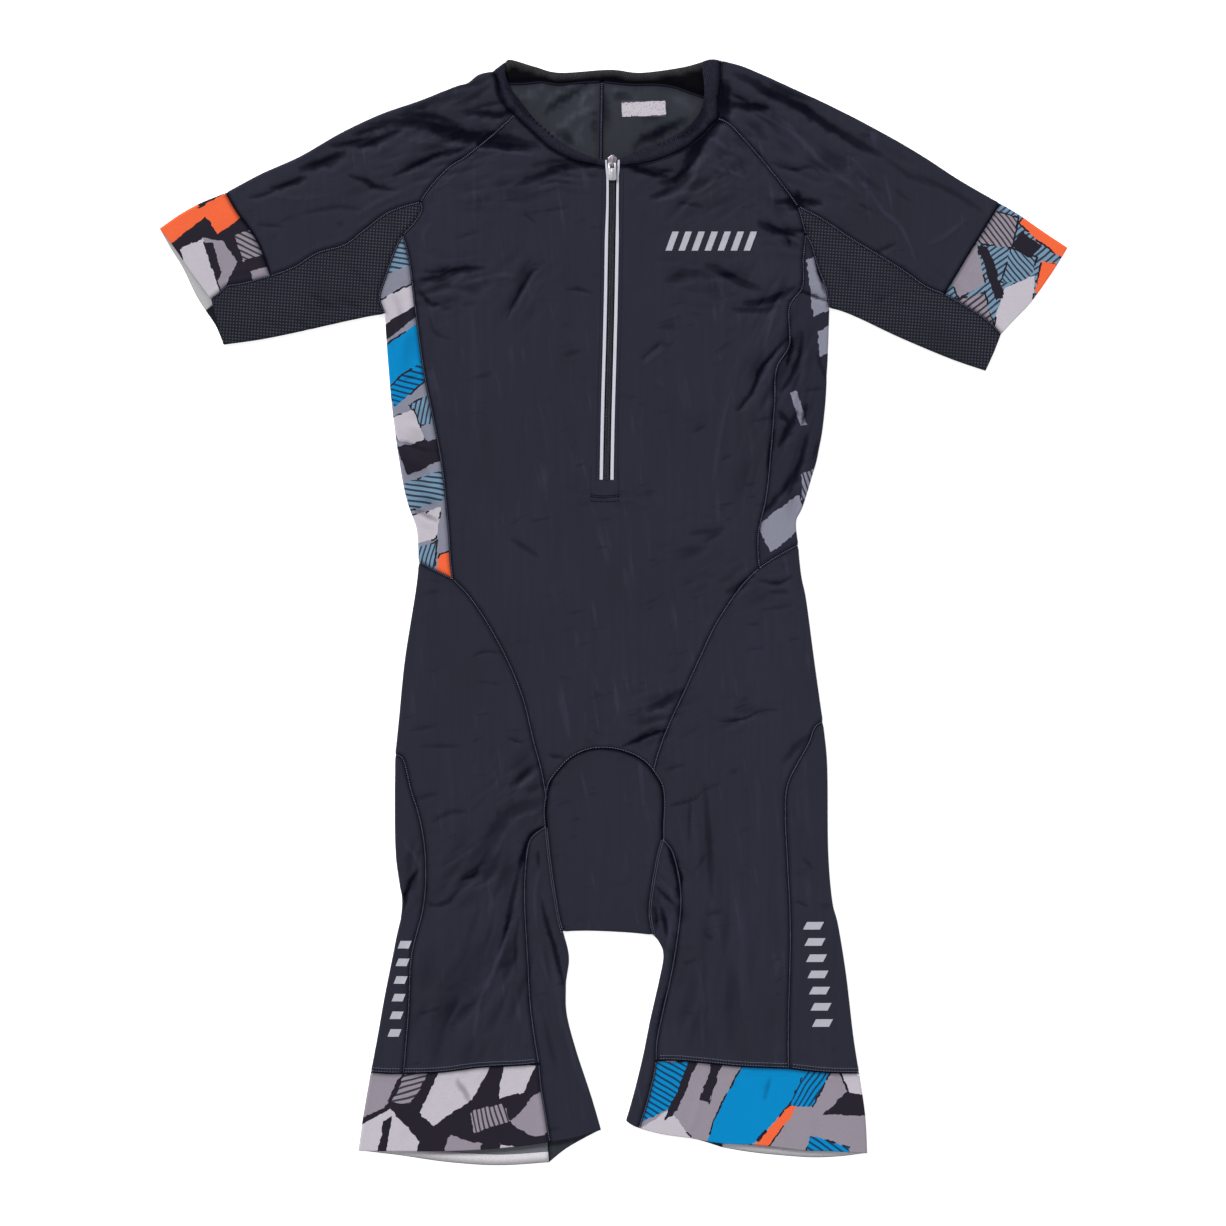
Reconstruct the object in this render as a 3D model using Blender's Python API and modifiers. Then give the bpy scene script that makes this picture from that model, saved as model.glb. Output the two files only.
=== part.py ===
"""A triathlon suit lying flat with its front up.

The pattern is drafted on a sheet in millimetres: x runs across, y runs down
from the top of the sheet. Every piece is cut between named lines, and lies in
one of two layers, the back on the ground and the front on top of it. A piece
that wraps round an edge has a part in both layers, joined by a rounded fold.
Sides are the wearer's: "r" is the wearer's right, at -X, and "l" the left.
"""
import math
from types import SimpleNamespace

import bmesh
import bpy
from mathutils import Vector
from mathutils.geometry import delaunay_2d_cdt

# Driving sizes, in millimetres
SHEET_MIDDLE_X = 613.493
SHEET_MIDDLE_Y = 612.909
PATTERN_SCALE_X = 1.0
PATTERN_SCALE_Y = 1.0
CLOTH_WALL = 1.2
BAND_WALL = 1.5
TAPE_WALL = 1.0
SEAM_GAP = 0.36
SEAM_STEP = 21.0
FOLD_SEGMENTS = 4
FOLD_RADIUS = 1.9
INNER_STEP = 25.0
LAYER_HEIGHT = 5.6
EDGE_RAMP = 26.0
LOWEST_FRONT = 2.9

ZIP_HALF_WIDTH = 7.3
COIL_HALF_WIDTH = 3.2
COIL_WALL = 1.7
ZIP_STEP = 20.0

SLIDER_LENGTH = 11.6
SLIDER_PLATE = 1.0
SLIDER_PLAY = 0.35
SLIDER_Y = 162.0
# The slider's plates: columns are distance from the nose, half width
SLIDER_PLAN = ((0.0, 1.2), (0.5, 1.8), (1.3, 2.1), (1.9, 3.4), (2.7, 4.4), (3.9, 4.6), (5.4, 4.1), (7.2, 3.8),
               (11.0, 3.7), (11.6, 3.2))
BRIDGE_WIDTH = 2.0
BRIDGE_BAR = 0.9
BRIDGE_CLEAR = 1.9
PULL_AXIS_Y = 164.9
PULL_BAR_RADIUS = 0.6
PULL_WIDTH = 7.8
PULL_ARM = 1.8
PULL_EYE = 4.6
PULL_LENGTH = 16.8
PULL_THICKNESS = 1.2

# Where lines meet: columns are name, then x and y on the wearer's right and left
POINTS = (
    ("neck_fold_out", 493, 72, 720, 61),
    ("neck_fold_in", 505, 63, 703, 62),
    ("neck_raglan", 515, 116, 717, 119),
    ("zip_neck", 605.3, 168, 619.9, 167),
    ("zip_open", 605.3, 161, 619.9, 160),
    ("raglan_mesh", 421, 203, 798, 207),
    ("side_top", 403, 236, 805.5, 235),
    ("cuff_mesh", 271, 277, 944, 295),
    ("cuff_end", 212, 300, 1000, 335),
    ("cuff_fold", 226, 193.5, 1000, 204),
    ("cuff_top", 160, 229, 1067, 248),
    ("cuff_low", 224, 345, 985, 371),
    ("armpit", 385, 314, 829, 308),
    ("waist_fold", 419, 562, 798, 545),
    ("waist_body", 453, 579, 759, 568),
    ("arch_side", 547, 800, 653, 772),
    ("inner_top", 547, 826, 662, 838),
    ("crotch_end", 563, 931, 653, 934.5),
    ("outer_top", 395.5, 754, 822.5, 721),
    ("outer_hem", 404, 1073, 788, 1068),
    ("hem_fold_top", 371, 1072, 859, 1073),
    ("hem_inner", 539, 1063, 656, 1060),
    ("hem_end", 550, 1141, 639, 1127),
    ("hem_out", 358.5, 1150, 867, 1152.5),
    ("hem_in", 601, 1129, 626, 1120),
    ("back_neck_raglan", 506.5, 84, 706, 98.5),
    ("back_inner_top", 562, 890, 652, 890),
    ("back_hem_inner", 540, 1063, 702, 1062),
    ("back_hem_end", 549, 1162, 722, 1147),
    ("back_cuff_end", 206, 311, 1001, 333),
)
MIDDLE_POINTS = (
    ("back_neck_mid", 602, 82),
    ("back_waist_mid", 605, 560),
    ("back_crotch_mid", 606, 842),
)

# Lines of the pattern: name, kind, start, end, then the points on the way on
# the wearer's right and on the left
LINES = (
    ("shoulder_out", "fold", "cuff_top", "cuff_fold",
     ((180, 215), (202, 203)), ((1040, 230), (1020, 216))),
    ("shoulder_in", "fold", "cuff_fold", "neck_fold_out",
     ((260, 175), (300, 157), (340, 134), (380, 115), (420, 101), (455, 87), (468, 83), (479, 75)),
     ((960, 181), (920, 155), (880, 132), (840, 111), (800, 92), (760, 74), (740, 66))),
    ("sleeve_low", "fold", "cuff_low", "armpit",
     ((260, 340), (300, 332), (340, 323), (368, 317)), ((950, 359), (900, 338), (862, 320), (843, 312))),
    ("side", "fold", "armpit", "waist_fold",
     ((387, 345), (392, 405), (400, 465), (407, 500), (416, 526), (418, 542)),
     ((828, 345), (825, 405), (819, 450), (811, 480), (802, 508), (796, 522))),
    ("hip", "fold", "waist_fold", "outer_top",
     ((416, 590), (405, 660), (399, 720)), ((801, 575), (806, 600), (814, 660))),
    ("thigh", "fold", "outer_top", "hem_fold_top",
     ((395, 800), (396, 855), (402, 905), (396, 940), (385, 995), (378, 1035)),
     ((827, 765), (828, 850), (832, 900), (838, 925), (846, 975), (853, 1035))),
    ("hem_fold", "fold", "hem_fold_top", "hem_out", ((364, 1112),), ((865, 1115),)),
    ("inner_fold", "fold", "crotch_end", "hem_in",
     ((569, 956), (566, 985), (567, 1015), (576, 1050), (591, 1095)),
     ((658.5, 941), (663.5, 955), (659, 980), (650, 1020), (643, 1055), (634, 1092))),
    ("neck_fold", "fold", "neck_fold_out", "neck_fold_in", ((499.5, 67),), ((711, 60),)),
    ("neck_edge", "free", "neck_fold_in", "zip_open",
     ((505.5, 75), (508, 83), (512, 91), (519, 100), (526, 109), (533, 118), (542, 127.5), (552, 136),
      (563, 144), (575, 151), (589, 157)),
     ((702.5, 73), (703.8, 84), (704, 97), (701, 110), (694, 121), (684, 129.5), (673, 137), (660, 143),
      (647, 147.5), (636, 151.5), (628, 156))),
    ("cuff_edge", "free", "cuff_top", "cuff_end",
     ((175, 248), (190, 270), (203, 288)), ((1050, 275), (1030, 303), (1014, 320))),
    ("mesh_edge", "free", "cuff_end", "cuff_low", ((218, 322),), ((993, 353),)),
    ("hem_edge", "free", "hem_out", "hem_end",
     ((400, 1150), (440, 1150), (480, 1148.5), (520, 1145)),
     ((830, 1150), (800, 1149), (760, 1144), (720, 1142), (690, 1137), (662, 1133))),
    ("hem_edge_in", "free", "hem_end", "hem_in", ((577, 1136),), ((632, 1124),)),
    ("neck_side", "seam", "neck_fold_out", "neck_raglan",
     ((497, 82), (499, 95), (506, 107)), ((720, 80), (719, 95), (718, 108))),
    ("neck_front", "seam", "neck_raglan", "zip_neck",
     ((525, 125.5), (534.5, 134.5), (544.5, 144), (555, 152), (573, 160.5), (588, 165)),
     ((710, 127), (701.5, 136.5), (688, 146.5), (674, 154), (659, 160), (641, 164.5))),
    ("zip_top", "seam", "zip_neck", "zip_open", (), ()),
    ("raglan", "seam", "neck_raglan", "raglan_mesh",
     ((494, 135), (467, 157), (449, 169), (430, 189)), ((729, 125), (750, 147), (770, 171), (787, 192))),
    ("raglan_low", "seam", "raglan_mesh", "side_top", ((422, 212), (413, 226)), ((802, 222),)),
    ("mesh_top", "seam", "raglan_mesh", "cuff_mesh",
     ((390, 213), (364, 232), (345, 246), (318, 254), (295, 268)),
     ((825, 222), (850, 239), (875, 254), (905, 273), (925, 287))),
    ("mesh_out", "seam", "cuff_mesh", "cuff_end",
     ((245, 284), (228, 287), (220, 294)), ((960, 304), (985, 320))),
    ("cuff_seam", "seam", "cuff_fold", "cuff_mesh",
     ((238, 214), (250, 230), (261, 249)), ((985, 228), (967, 257), (955, 277))),
    ("side_mesh", "seam", "side_top", "armpit",
     ((395, 252), (386, 278), (380, 298)), ((811, 245), (818, 268), (826, 290))),
    ("body_side", "seam", "side_top", "waist_body",
     ((410, 262), (416, 310), (424, 370), (434, 420), (443, 470), (449, 530), (451, 562)),
     ((803, 260), (802, 288), (789, 308), (789, 345), (776, 370), (774, 410), (767, 490), (758, 535))),
    ("waist", "seam", "waist_fold", "waist_body", ((436, 571),), ((778, 556),)),
    ("leg_curve", "seam", "waist_body", "arch_side",
     ((470, 597), (490, 627), (510, 665), (524, 701), (534, 742), (541, 768)),
     ((740, 588), (717, 622), (700, 657), (686, 688), (670, 722), (659, 750))),
    ("crotch_side", "seam", "arch_side", "inner_top",
     ((546, 812),), ((661, 786), (663, 805), (662, 822))),
    ("crotch_low", "seam", "inner_top", "crotch_end",
     ((550, 855), (554, 885), (559, 915)), ((657, 857), (652, 885), (649, 912))),
    ("inner", "seam", "inner_top", "hem_inner",
     ((531, 839), (526, 865), (525, 905), (528, 960), (531, 1010)),
     ((673, 853), (680, 885), (680, 915), (673, 965), (662, 1015), (657, 1040))),
    ("inner_low", "seam", "hem_inner", "hem_end",
     ((541, 1085), (545, 1110)), ((653, 1078), (646, 1105))),
    ("hem_seam_out", "seam", "hem_fold_top", "outer_hem", ((388, 1073),), ((825, 1072),)),
    ("hem_seam", "seam", "outer_hem", "hem_inner",
     ((440, 1072), (480, 1067), (520, 1065)), ((740, 1066), (700, 1062), (675, 1060))),
    ("outer", "seam", "outer_top", "outer_hem",
     ((404, 760), (411, 788), (421, 822), (426, 860), (424, 905), (412, 955), (409, 1010)),
     ((814, 728), (808, 744), (788, 782), (785, 815), (787, 860), (790, 930), (788, 1020))),
    ("back_neck_side", "seam", "neck_fold_out", "back_neck_raglan",
     ((499, 79),), ((717, 82), (712, 93))),
    ("back_neck", "seam", "back_neck_raglan", "back_neck_mid",
     ((523, 84), (541, 82.5), (560, 85), (580, 83)), ((690, 93), (674, 87.5), (655, 84.8), (632, 85))),
    ("back_raglan", "seam", "back_neck_raglan", "raglan_mesh",
     ((498, 112), (468, 146), (440, 178)), ((712, 118), (742, 149), (775, 182))),
    ("back_waist", "seam", "waist_body", "back_waist_mid",
     ((500, 574), (550, 565)), ((715, 562), (660, 560))),
    ("back_arch", "seam", "back_crotch_mid", "back_inner_top",
     ((582, 848), (567, 866)), ((632, 848), (648, 866))),
    ("back_crotch", "seam", "back_inner_top", "crotch_end", ((561, 912),), ((651, 912),)),
    ("back_inner", "seam", "back_inner_top", "back_hem_inner",
     ((546, 905), (535, 940), (531, 990), (535, 1035)), ((668, 908), (680, 950), (691, 1010))),
    ("back_inner_low", "seam", "back_hem_inner", "back_hem_end", ((545, 1110),), ((712, 1108),)),
    ("back_hem_seam", "seam", "outer_hem", "back_hem_inner",
     ((440, 1072), (480, 1067), (520, 1065)), ((745, 1065),)),
    ("back_hem_edge", "free", "hem_out", "back_hem_end",
     ((400, 1155), (450, 1162), (500, 1165)), ((840, 1156), (810, 1157), (770, 1154), (745, 1151))),
    ("back_hem_edge_in", "free", "back_hem_end", "hem_in",
     ((565, 1149), (582, 1139)), ((700, 1140), (665, 1131), (640, 1125))),
    ("back_mesh_out", "seam", "cuff_mesh", "back_cuff_end",
     ((242, 287), (222, 299)), ((960, 304), (985, 320))),
    ("back_cuff_edge", "free", "cuff_top", "back_cuff_end",
     ((170, 247), (183, 268), (196, 295)), ((1048, 275), (1028, 303), (1013, 320))),
    ("back_mesh_edge", "free", "back_cuff_end", "cuff_low", ((216, 326),), ((993, 352),)),
)
MIDDLE_LINES = (
    ("crotch_fold", "fold", "crotch_end_r", "crotch_end_l", ((590, 930.5), (625, 932))),
    ("arch", "seam", "arch_side_r", "arch_side_l",
     ((550, 784), (558, 772), (572, 758), (590, 750), (610, 749), (630, 754), (644, 762))),
    ("back_neck_edge", "free", "neck_fold_in_r", "neck_fold_in_l",
     ((511, 60), (535, 67), (560, 73), (610, 70), (640, 73), (680, 68))),
    ("back_mid", "seam", "back_neck_mid", "back_waist_mid", ((601, 160), (602, 300), (604, 450))),
    ("seat_mid", "seam", "back_waist_mid", "back_crotch_mid", ((606, 700),)),
)

# The zip's middle line: columns are y, x
ZIP_PATH = ((161, 612.6), (185, 612.8), (215, 612.5), (240, 612.0), (300, 611.0), (350, 609.8),
            (400, 608.4), (440, 607.5), (480, 606.8))

# Cut pieces with one on each side: name, wall, lines of the front layer, lines of the back layer
SIDE_PIECES = (
    ("sleeve", CLOTH_WALL, ("raglan", "mesh_top", "cuff_seam", "shoulder_in", "neck_side"),
     ("back_raglan", "mesh_top", "cuff_seam", "shoulder_in", "back_neck_side")),
    ("underarm", CLOTH_WALL, ("raglan_low", "side_mesh", "sleeve_low", "mesh_edge", "mesh_out", "mesh_top"),
     ("raglan_low", "side_mesh", "sleeve_low", "back_mesh_edge", "back_mesh_out", "mesh_top")),
    ("cuff", CLOTH_WALL, ("shoulder_out", "cuff_seam", "mesh_out", "cuff_edge"),
     ("shoulder_out", "cuff_seam", "back_mesh_out", "back_cuff_edge")),
    ("side_panel", CLOTH_WALL, ("side_mesh", "side", "waist", "body_side"),
     ("side_mesh", "side", "waist", "body_side")),
    ("leg", CLOTH_WALL, ("waist", "leg_curve", "crotch_side", "inner", "hem_seam", "outer", "hip"),
     ("waist", "back_waist", "seat_mid", "back_arch", "back_inner", "back_hem_seam", "outer", "hip")),
    ("outer_thigh", CLOTH_WALL, ("outer", "hem_seam_out", "thigh"), ("outer", "hem_seam_out", "thigh")),
    ("hem_band", CLOTH_WALL, ("hem_seam_out", "hem_seam", "inner_low", "hem_edge", "hem_fold"),
     ("hem_seam_out", "back_hem_seam", "back_inner_low", "back_hem_edge", "hem_fold")),
    ("inner_thigh", CLOTH_WALL, ("crotch_low", "inner", "inner_low", "hem_edge_in", "inner_fold"),
     ("back_crotch", "back_inner", "back_inner_low", "back_hem_edge_in", "inner_fold")),
    ("back", CLOTH_WALL, (),
     ("back_neck", "back_raglan", "raglan_low", "body_side", "back_waist", "back_mid")),
)
SIDE_NAMES = {"r": "right", "l": "left"}

# Largest folds of the front layer: x0, y0, x1, y1, width, height
FOLDS = (
    (396, 128, 535, 148, 15, -1.7),
    (455, 158, 520, 143, 12, 1.2),
    (530, 182, 590, 166, 12, -1.1),
    (735, 78, 850, 134, 15, -1.7),
    (745, 112, 842, 186, 14, 1.9),
    (640, 196, 712, 146, 13, -1.3),
    (420, 281, 482, 269, 12, -1.2),
    (510, 325, 538, 268, 13, -1.2),
    (715, 270, 765, 290, 12, -1.2),
    (774, 345, 741, 412, 14, -1.5),
    (862, 176, 913, 262, 14, 1.5),
    (252, 199, 312, 181, 13, -1.3),
    (352, 179, 402, 190, 12, 1.2),
    (806, 404, 782, 502, 13, -1.5),
    (504, 792, 542, 760, 13, 1.7),
    (500, 862, 538, 798, 14, -1.6),
    (520, 884, 476, 1040, 18, 2.4),
    (492, 935, 432, 1052, 16, -2.0),
    (438, 905, 470, 880, 12, 1.2),
    (622, 745, 662, 728, 12, -1.2),
    (722, 718, 767, 711, 12, -1.3),
    (690, 800, 693, 852, 14, 1.3),
    (735, 900, 745, 1010, 18, 1.3),
)

COLORS = {
    "cloth": (0.026, 0.026, 0.041),
    "mesh": (0.030, 0.031, 0.045),
    "print": (0.22, 0.36, 0.48),
    "band": (0.020, 0.020, 0.028),
    "tape": (0.55, 0.56, 0.58),
    "coil": (0.06, 0.065, 0.085),
    "metal": (0.62, 0.63, 0.66),
}


def place(x, y):
    """Turns a point of the pattern's sheet into metres about the origin."""
    return Vector(((x - SHEET_MIDDLE_X) * PATTERN_SCALE_X / 1000.0,
                   (SHEET_MIDDLE_Y - y) * PATTERN_SCALE_Y / 1000.0))


def mm(value):
    return value / 1000.0


def spline(points, step):
    """Even points along a smooth curve through the given ones."""
    dense = []
    last = len(points) - 1
    for i in range(last):
        p0 = points[max(i - 1, 0)]
        p1 = points[i]
        p2 = points[i + 1]
        p3 = points[min(i + 2, last)]
        for k in range(10):
            t = k / 10.0
            a = p1 * 2.0 + (p2 - p0) * t
            b = (p0 * 2.0 - p1 * 5.0 + p2 * 4.0 - p3) * t * t
            c = (p1 * 3.0 - p0 - p2 * 3.0 + p3) * t * t * t
            dense.append((a + b + c) * 0.5)
    dense.append(points[-1].copy())
    lengths = [0.0]
    for a, b in zip(dense, dense[1:]):
        lengths.append(lengths[-1] + (b - a).length)
    count = max(1, round(lengths[-1] / step))
    result = []
    j = 0
    for i in range(count + 1):
        target = lengths[-1] * i / count
        while j < len(dense) - 2 and lengths[j + 1] < target:
            j += 1
        span = lengths[j + 1] - lengths[j]
        t = 0.0 if span == 0 else (target - lengths[j]) / span
        result.append(dense[j].lerp(dense[j + 1], min(max(t, 0.0), 1.0)))
    return result


def draft():
    """All lines of the pattern as sampled points, by name."""
    spots = {}
    for name, xr, yr, xl, yl in POINTS:
        spots[name + "_r"] = place(xr, yr)
        spots[name + "_l"] = place(xl, yl)
    for name, x, y in MIDDLE_POINTS:
        spots[name] = place(x, y)
    lines = {}

    def add(key, kind, start, end, way):
        points = [spots[start]] + [place(x, y) for x, y in way] + [spots[end]]
        lines[key] = SimpleNamespace(name=key, kind=kind, start=start, end=end,
                                     points=spline(points, mm(SEAM_STEP)))

    def spot(name, side):
        return name if name in spots else name + side

    for name, kind, start, end, right, left in LINES:
        add(name + "_r", kind, spot(start, "_r"), spot(end, "_r"), right)
        add(name + "_l", kind, spot(start, "_l"), spot(end, "_l"), left)
    for name, kind, start, end, way in MIDDLE_LINES:
        add(name, kind, start, end, way)
    middle = spline([place(x, y) for y, x in ZIP_PATH], mm(ZIP_STEP))
    for side, sign in (("_r", -1.0), ("_l", 1.0)):
        edge = [p + Vector((sign * mm(ZIP_HALF_WIDTH), 0.0)) for p in middle if p.y < spots["zip_neck" + side].y]
        edge.insert(0, spots["zip_neck" + side])
        spots["zip_end" + side] = edge[-1]
        lines["zip_side" + side] = SimpleNamespace(name="zip_side" + side, kind="seam", start="zip_neck" + side,
                                                   end="zip_end" + side, points=edge)
    lines["zip_bottom"] = SimpleNamespace(name="zip_bottom", kind="seam", start="zip_end_r", end="zip_end_l",
                                          points=[spots["zip_end_r"], spots["zip_end_l"]])
    return lines, middle


def smooth(t):
    t = min(max(t, 0.0), 1.0)
    return t * t * (3.0 - 2.0 * t)


def fold_height(point):
    """Sum of the table's folds at a point, in metres."""
    total = 0.0
    for x0, y0, x1, y1, width, height in FOLDS:
        a = place(x0, y0)
        b = place(x1, y1)
        along = b - a
        length = along.length
        t = (point - a).dot(along) / (length * length)
        if t < -0.25 or t > 1.25:
            continue
        across = (point - a - along * t).length / mm(width * 0.62)
        if across > 3.0:
            continue
        taper = smooth((t + 0.25) / 0.4) * smooth((1.25 - t) / 0.4)
        total += mm(height) * taper * math.exp(-across * across)
    return total


class Surface:
    """Height of the front layer's middle surface above the ground."""

    def __init__(self, lines):
        self.rim = [p for line in lines.values() if line.kind == "fold" for p in line.points]

    def height(self, point):
        nearest = min((point - p).length_squared for p in self.rim)
        ramp = smooth(math.sqrt(nearest) / mm(EDGE_RAMP))
        edge = mm(CLOTH_WALL / 2 + FOLD_RADIUS * 2)
        z = edge + (mm(LAYER_HEIGHT) - edge) * ramp + fold_height(point)
        return max(z, mm(LOWEST_FRONT))


def chain(lines, names):
    """A closed loop: for each line in order, its points in walking direction."""
    first = lines[names[0]]
    second = lines[names[1]]
    forward = first.end in (second.start, second.end)
    walk = []
    at = first.start if forward else first.end
    for name in names:
        line = lines[name]
        if line.start == at:
            walk.append((line, list(range(len(line.points)))))
            at = line.end
        else:
            assert line.end == at, f"{name} does not continue the loop at {at}"
            walk.append((line, list(range(len(line.points) - 1, -1, -1))))
            at = line.start
    return walk


def signed_area(points):
    return 0.5 * sum(a.x * b.y - b.x * a.y for a, b in zip(points, points[1:] + points[:1]))


def edge_inset(kind):
    return {"seam": mm(SEAM_GAP / 2), "fold": mm(FOLD_RADIUS + CLOTH_WALL / 2), "free": 0.0}[kind]


def mitre(point, n_came, n_go, d_came, d_go):
    """Where two edges that meet at a point cross, once each has moved inwards."""
    cross = n_came.x * n_go.y - n_came.y * n_go.x
    if abs(cross) < 0.02:
        return point + (n_came + n_go).normalized() * max(d_came, d_go)
    x = (d_came * n_go.y - d_go * n_came.y) / cross
    y = (d_go * n_came.x - d_came * n_go.x) / cross
    return point + Vector((x, y))


def cut_outline(lines, names):
    """The loop moved inwards: its points, and for each fold line their numbers and ways out."""
    walk = chain(lines, names)
    flat = [line.points[i] for line, order in walk for i in order[:-1]]
    if signed_area(flat) < 0:
        walk = [(line, order[::-1]) for line, order in reversed(walk)]
    outline = []
    folds = {}
    count = len(walk)
    for w, (line, order) in enumerate(walk):
        before, before_order = walk[(w - 1) % count]
        kind = line.kind
        points = [line.points[i] for i in order]
        numbers = []
        ways = []
        for k, point in enumerate(points):
            if k == 0:
                came = point - before.points[before_order[-2]]
                go = points[1] - point
                d_came = edge_inset(before.kind)
                d_go = edge_inset(kind)
            elif k == len(points) - 1:
                came = points[-1] - points[-2]
                after, after_order = walk[(w + 1) % count]
                go = after.points[after_order[1]] - point
                d_came = edge_inset(kind)
                d_go = edge_inset(after.kind)
            else:
                came = point - points[k - 1]
                go = points[k + 1] - point
                d_came = d_go = edge_inset(kind)
            n_came = Vector((-came.y, came.x)).normalized()
            n_go = Vector((-go.y, go.x)).normalized()
            own = n_go if k == 0 else n_came
            corner = k in (0, len(points) - 1)
            if corner and abs(d_came - d_go) > 1e-6 and n_came.dot(n_go) > 0.8:
                moved = point + own * edge_inset(kind)
                rim = point
            else:
                moved = mitre(point, n_came, n_go, d_came, d_go)
                rim = point
                if corner and k == 0:
                    rim = mitre(point, n_came, n_go, d_came, 0.0)
                elif corner:
                    rim = mitre(point, n_came, n_go, 0.0, d_go)
            if not outline or (outline[-1] - moved).length > 1e-7:
                outline.append(moved)
            numbers.append(len(outline) - 1)
            ways.append((rim - moved) / max(edge_inset(kind), 1e-9))
        if kind == "fold":
            by_index = dict(zip(order, zip(numbers, ways)))
            folds[line.name] = [by_index[i] for i in range(len(line.points))]
    if (outline[0] - outline[-1]).length < 1e-7:
        last = len(outline) - 1
        outline.pop()
        for name, rows in folds.items():
            folds[name] = [(0 if number == last else number, way) for number, way in rows]
    return outline, folds


def inside(point, outline):
    hit = False
    for a, b in zip(outline, outline[1:] + outline[:1]):
        if (a.y > point.y) != (b.y > point.y):
            if point.x < (b.x - a.x) * (point.y - a.y) / (b.y - a.y) + a.x:
                hit = not hit
    return hit


def gap_to(point, outline):
    best = 1.0
    for a, b in zip(outline, outline[1:] + outline[:1]):
        along = b - a
        t = min(max((point - a).dot(along) / max(along.length_squared, 1e-14), 0.0), 1.0)
        best = min(best, (point - a - along * t).length)
    return best


def inner_points(outline):
    """Points along the crests and feet of the folds, then a loose grid between them."""
    found = []
    for x0, y0, x1, y1, width, height in FOLDS:
        a = place(x0, y0)
        b = place(x1, y1)
        steps = max(2, round((b - a).length / mm(15.0)))
        side = Vector((a.y - b.y, b.x - a.x)).normalized()
        for shift in (-0.95, 0.0, 0.95):
            for i in range(-1, steps + 2):
                point = a.lerp(b, i / steps) + side * mm(width * shift)
                if inside(point, outline) and gap_to(point, outline) > mm(5.0):
                    found.append(point)
    xs = [p.x for p in outline]
    ys = [p.y for p in outline]
    step = mm(INNER_STEP)
    rows = int((max(ys) - min(ys)) / step) + 2
    columns = int((max(xs) - min(xs)) / step) + 2
    crests = list(found)
    for row in range(rows):
        for column in range(columns):
            x = min(xs) + (column + 0.5 * (row % 2)) * step
            y = min(ys) + row * step
            point = Vector((x, y))
            if not inside(point, outline) or gap_to(point, outline) < step * 0.5:
                continue
            if any((point - other).length < step * 0.55 for other in crests):
                continue
            found.append(point)
    return found


def sheet_layer(mesh, lines, names, height, inner):
    """Adds one layer of a piece to a bmesh. Gives its fold rows of vertices."""
    outline, folds = cut_outline(lines, names)
    extra = inner_points(outline) if inner else []
    verts = outline + extra
    loop = list(range(len(outline)))
    coords, _, faces, origins, _, _ = delaunay_2d_cdt(verts, [], [loop], 1, 1e-9)
    made = [mesh.verts.new((p.x, p.y, height(p))) for p in coords]
    source = {}
    for index, sources in enumerate(origins):
        for number in sources:
            source[number] = made[index]
    for face in faces:
        mesh.faces.new([made[i] for i in face])
    return {name: [(source[number], way) for number, way in rows] for name, rows in folds.items()}


def join_folds(mesh, front, back):
    """Rounds the edge from the front layer over to the back layer."""
    for name in front:
        if name not in back:
            continue
        rings = []
        for (top, way), (bottom, way_back) in zip(front[name], back[name]):
            radius = (top.co.z - bottom.co.z) / 2
            middle = (top.co.z + bottom.co.z) / 2
            ring = [top]
            for k in range(1, FOLD_SEGMENTS):
                share = k / FOLD_SEGMENTS
                flat = top.co.lerp(bottom.co, share)
                out = way.lerp(way_back, share) * radius * math.sin(math.pi * share)
                ring.append(mesh.verts.new((flat.x + out.x, flat.y + out.y,
                                            middle + radius * math.cos(math.pi * share))))
            ring.append(bottom)
            rings.append(ring)
        for one, two in zip(rings, rings[1:]):
            for k in range(FOLD_SEGMENTS):
                mesh.faces.new((one[k], one[k + 1], two[k + 1], two[k]))


def material(name, color, metallic=0.0, roughness=0.6):
    made = bpy.data.materials.new(name)
    made.use_nodes = True
    shader = made.node_tree.nodes["Principled BSDF"]
    shader.inputs["Base Color"].default_value = (*color, 1.0)
    shader.inputs["Metallic"].default_value = metallic
    shader.inputs["Roughness"].default_value = roughness
    return made


def add_object(name, mesh, collection, color, metallic=0.0, wall=0.0):
    """Makes the object of a bmesh, with its own material and, for cloth, a wall."""
    bmesh.ops.recalc_face_normals(mesh, faces=mesh.faces)
    bmesh.ops.triangulate(mesh, faces=mesh.faces)
    data = bpy.data.meshes.new(name)
    mesh.to_mesh(data)
    mesh.free()
    made = bpy.data.objects.new(name, data)
    collection.objects.link(made)
    data.materials.append(material(name, color, metallic, 0.35 if metallic else 0.6))
    if wall:
        solid = made.modifiers.new("Wall", "SOLIDIFY")
        solid.thickness = mm(wall)
        solid.offset = 0.0
        solid.use_even_offset = True
        solid.use_quality_normals = True
    return made


def cloth_piece(name, wall, fronts, backs, lines, surface, collection, color):
    """A cut piece from the loops of its two layers."""
    mesh = bmesh.new()
    front = {}
    back = {}
    for names in fronts:
        front.update(sheet_layer(mesh, lines, names, surface.height, True))
    for names in backs:
        back.update(sheet_layer(mesh, lines, names, lambda p: mm(wall / 2), False))
    join_folds(mesh, front, back)
    return add_object(name, mesh, collection, color, 0.0, wall)


def ribbon(name, wall, middle, left, right, lift, surface, collection, color):
    """A strip along the zip's middle line, between two distances from it."""
    mesh = bmesh.new()
    rows = []
    for point in middle:
        row = []
        for share in (left, right):
            spot = point + Vector((mm(share), 0.0))
            row.append(mesh.verts.new((spot.x, spot.y, surface.height(spot) + mm(lift))))
        rows.append(row)
    for one, two in zip(rows, rows[1:]):
        mesh.faces.new((one[0], two[0], two[1], one[1]))
    return add_object(name, mesh, collection, color, 0.0, wall)


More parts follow.
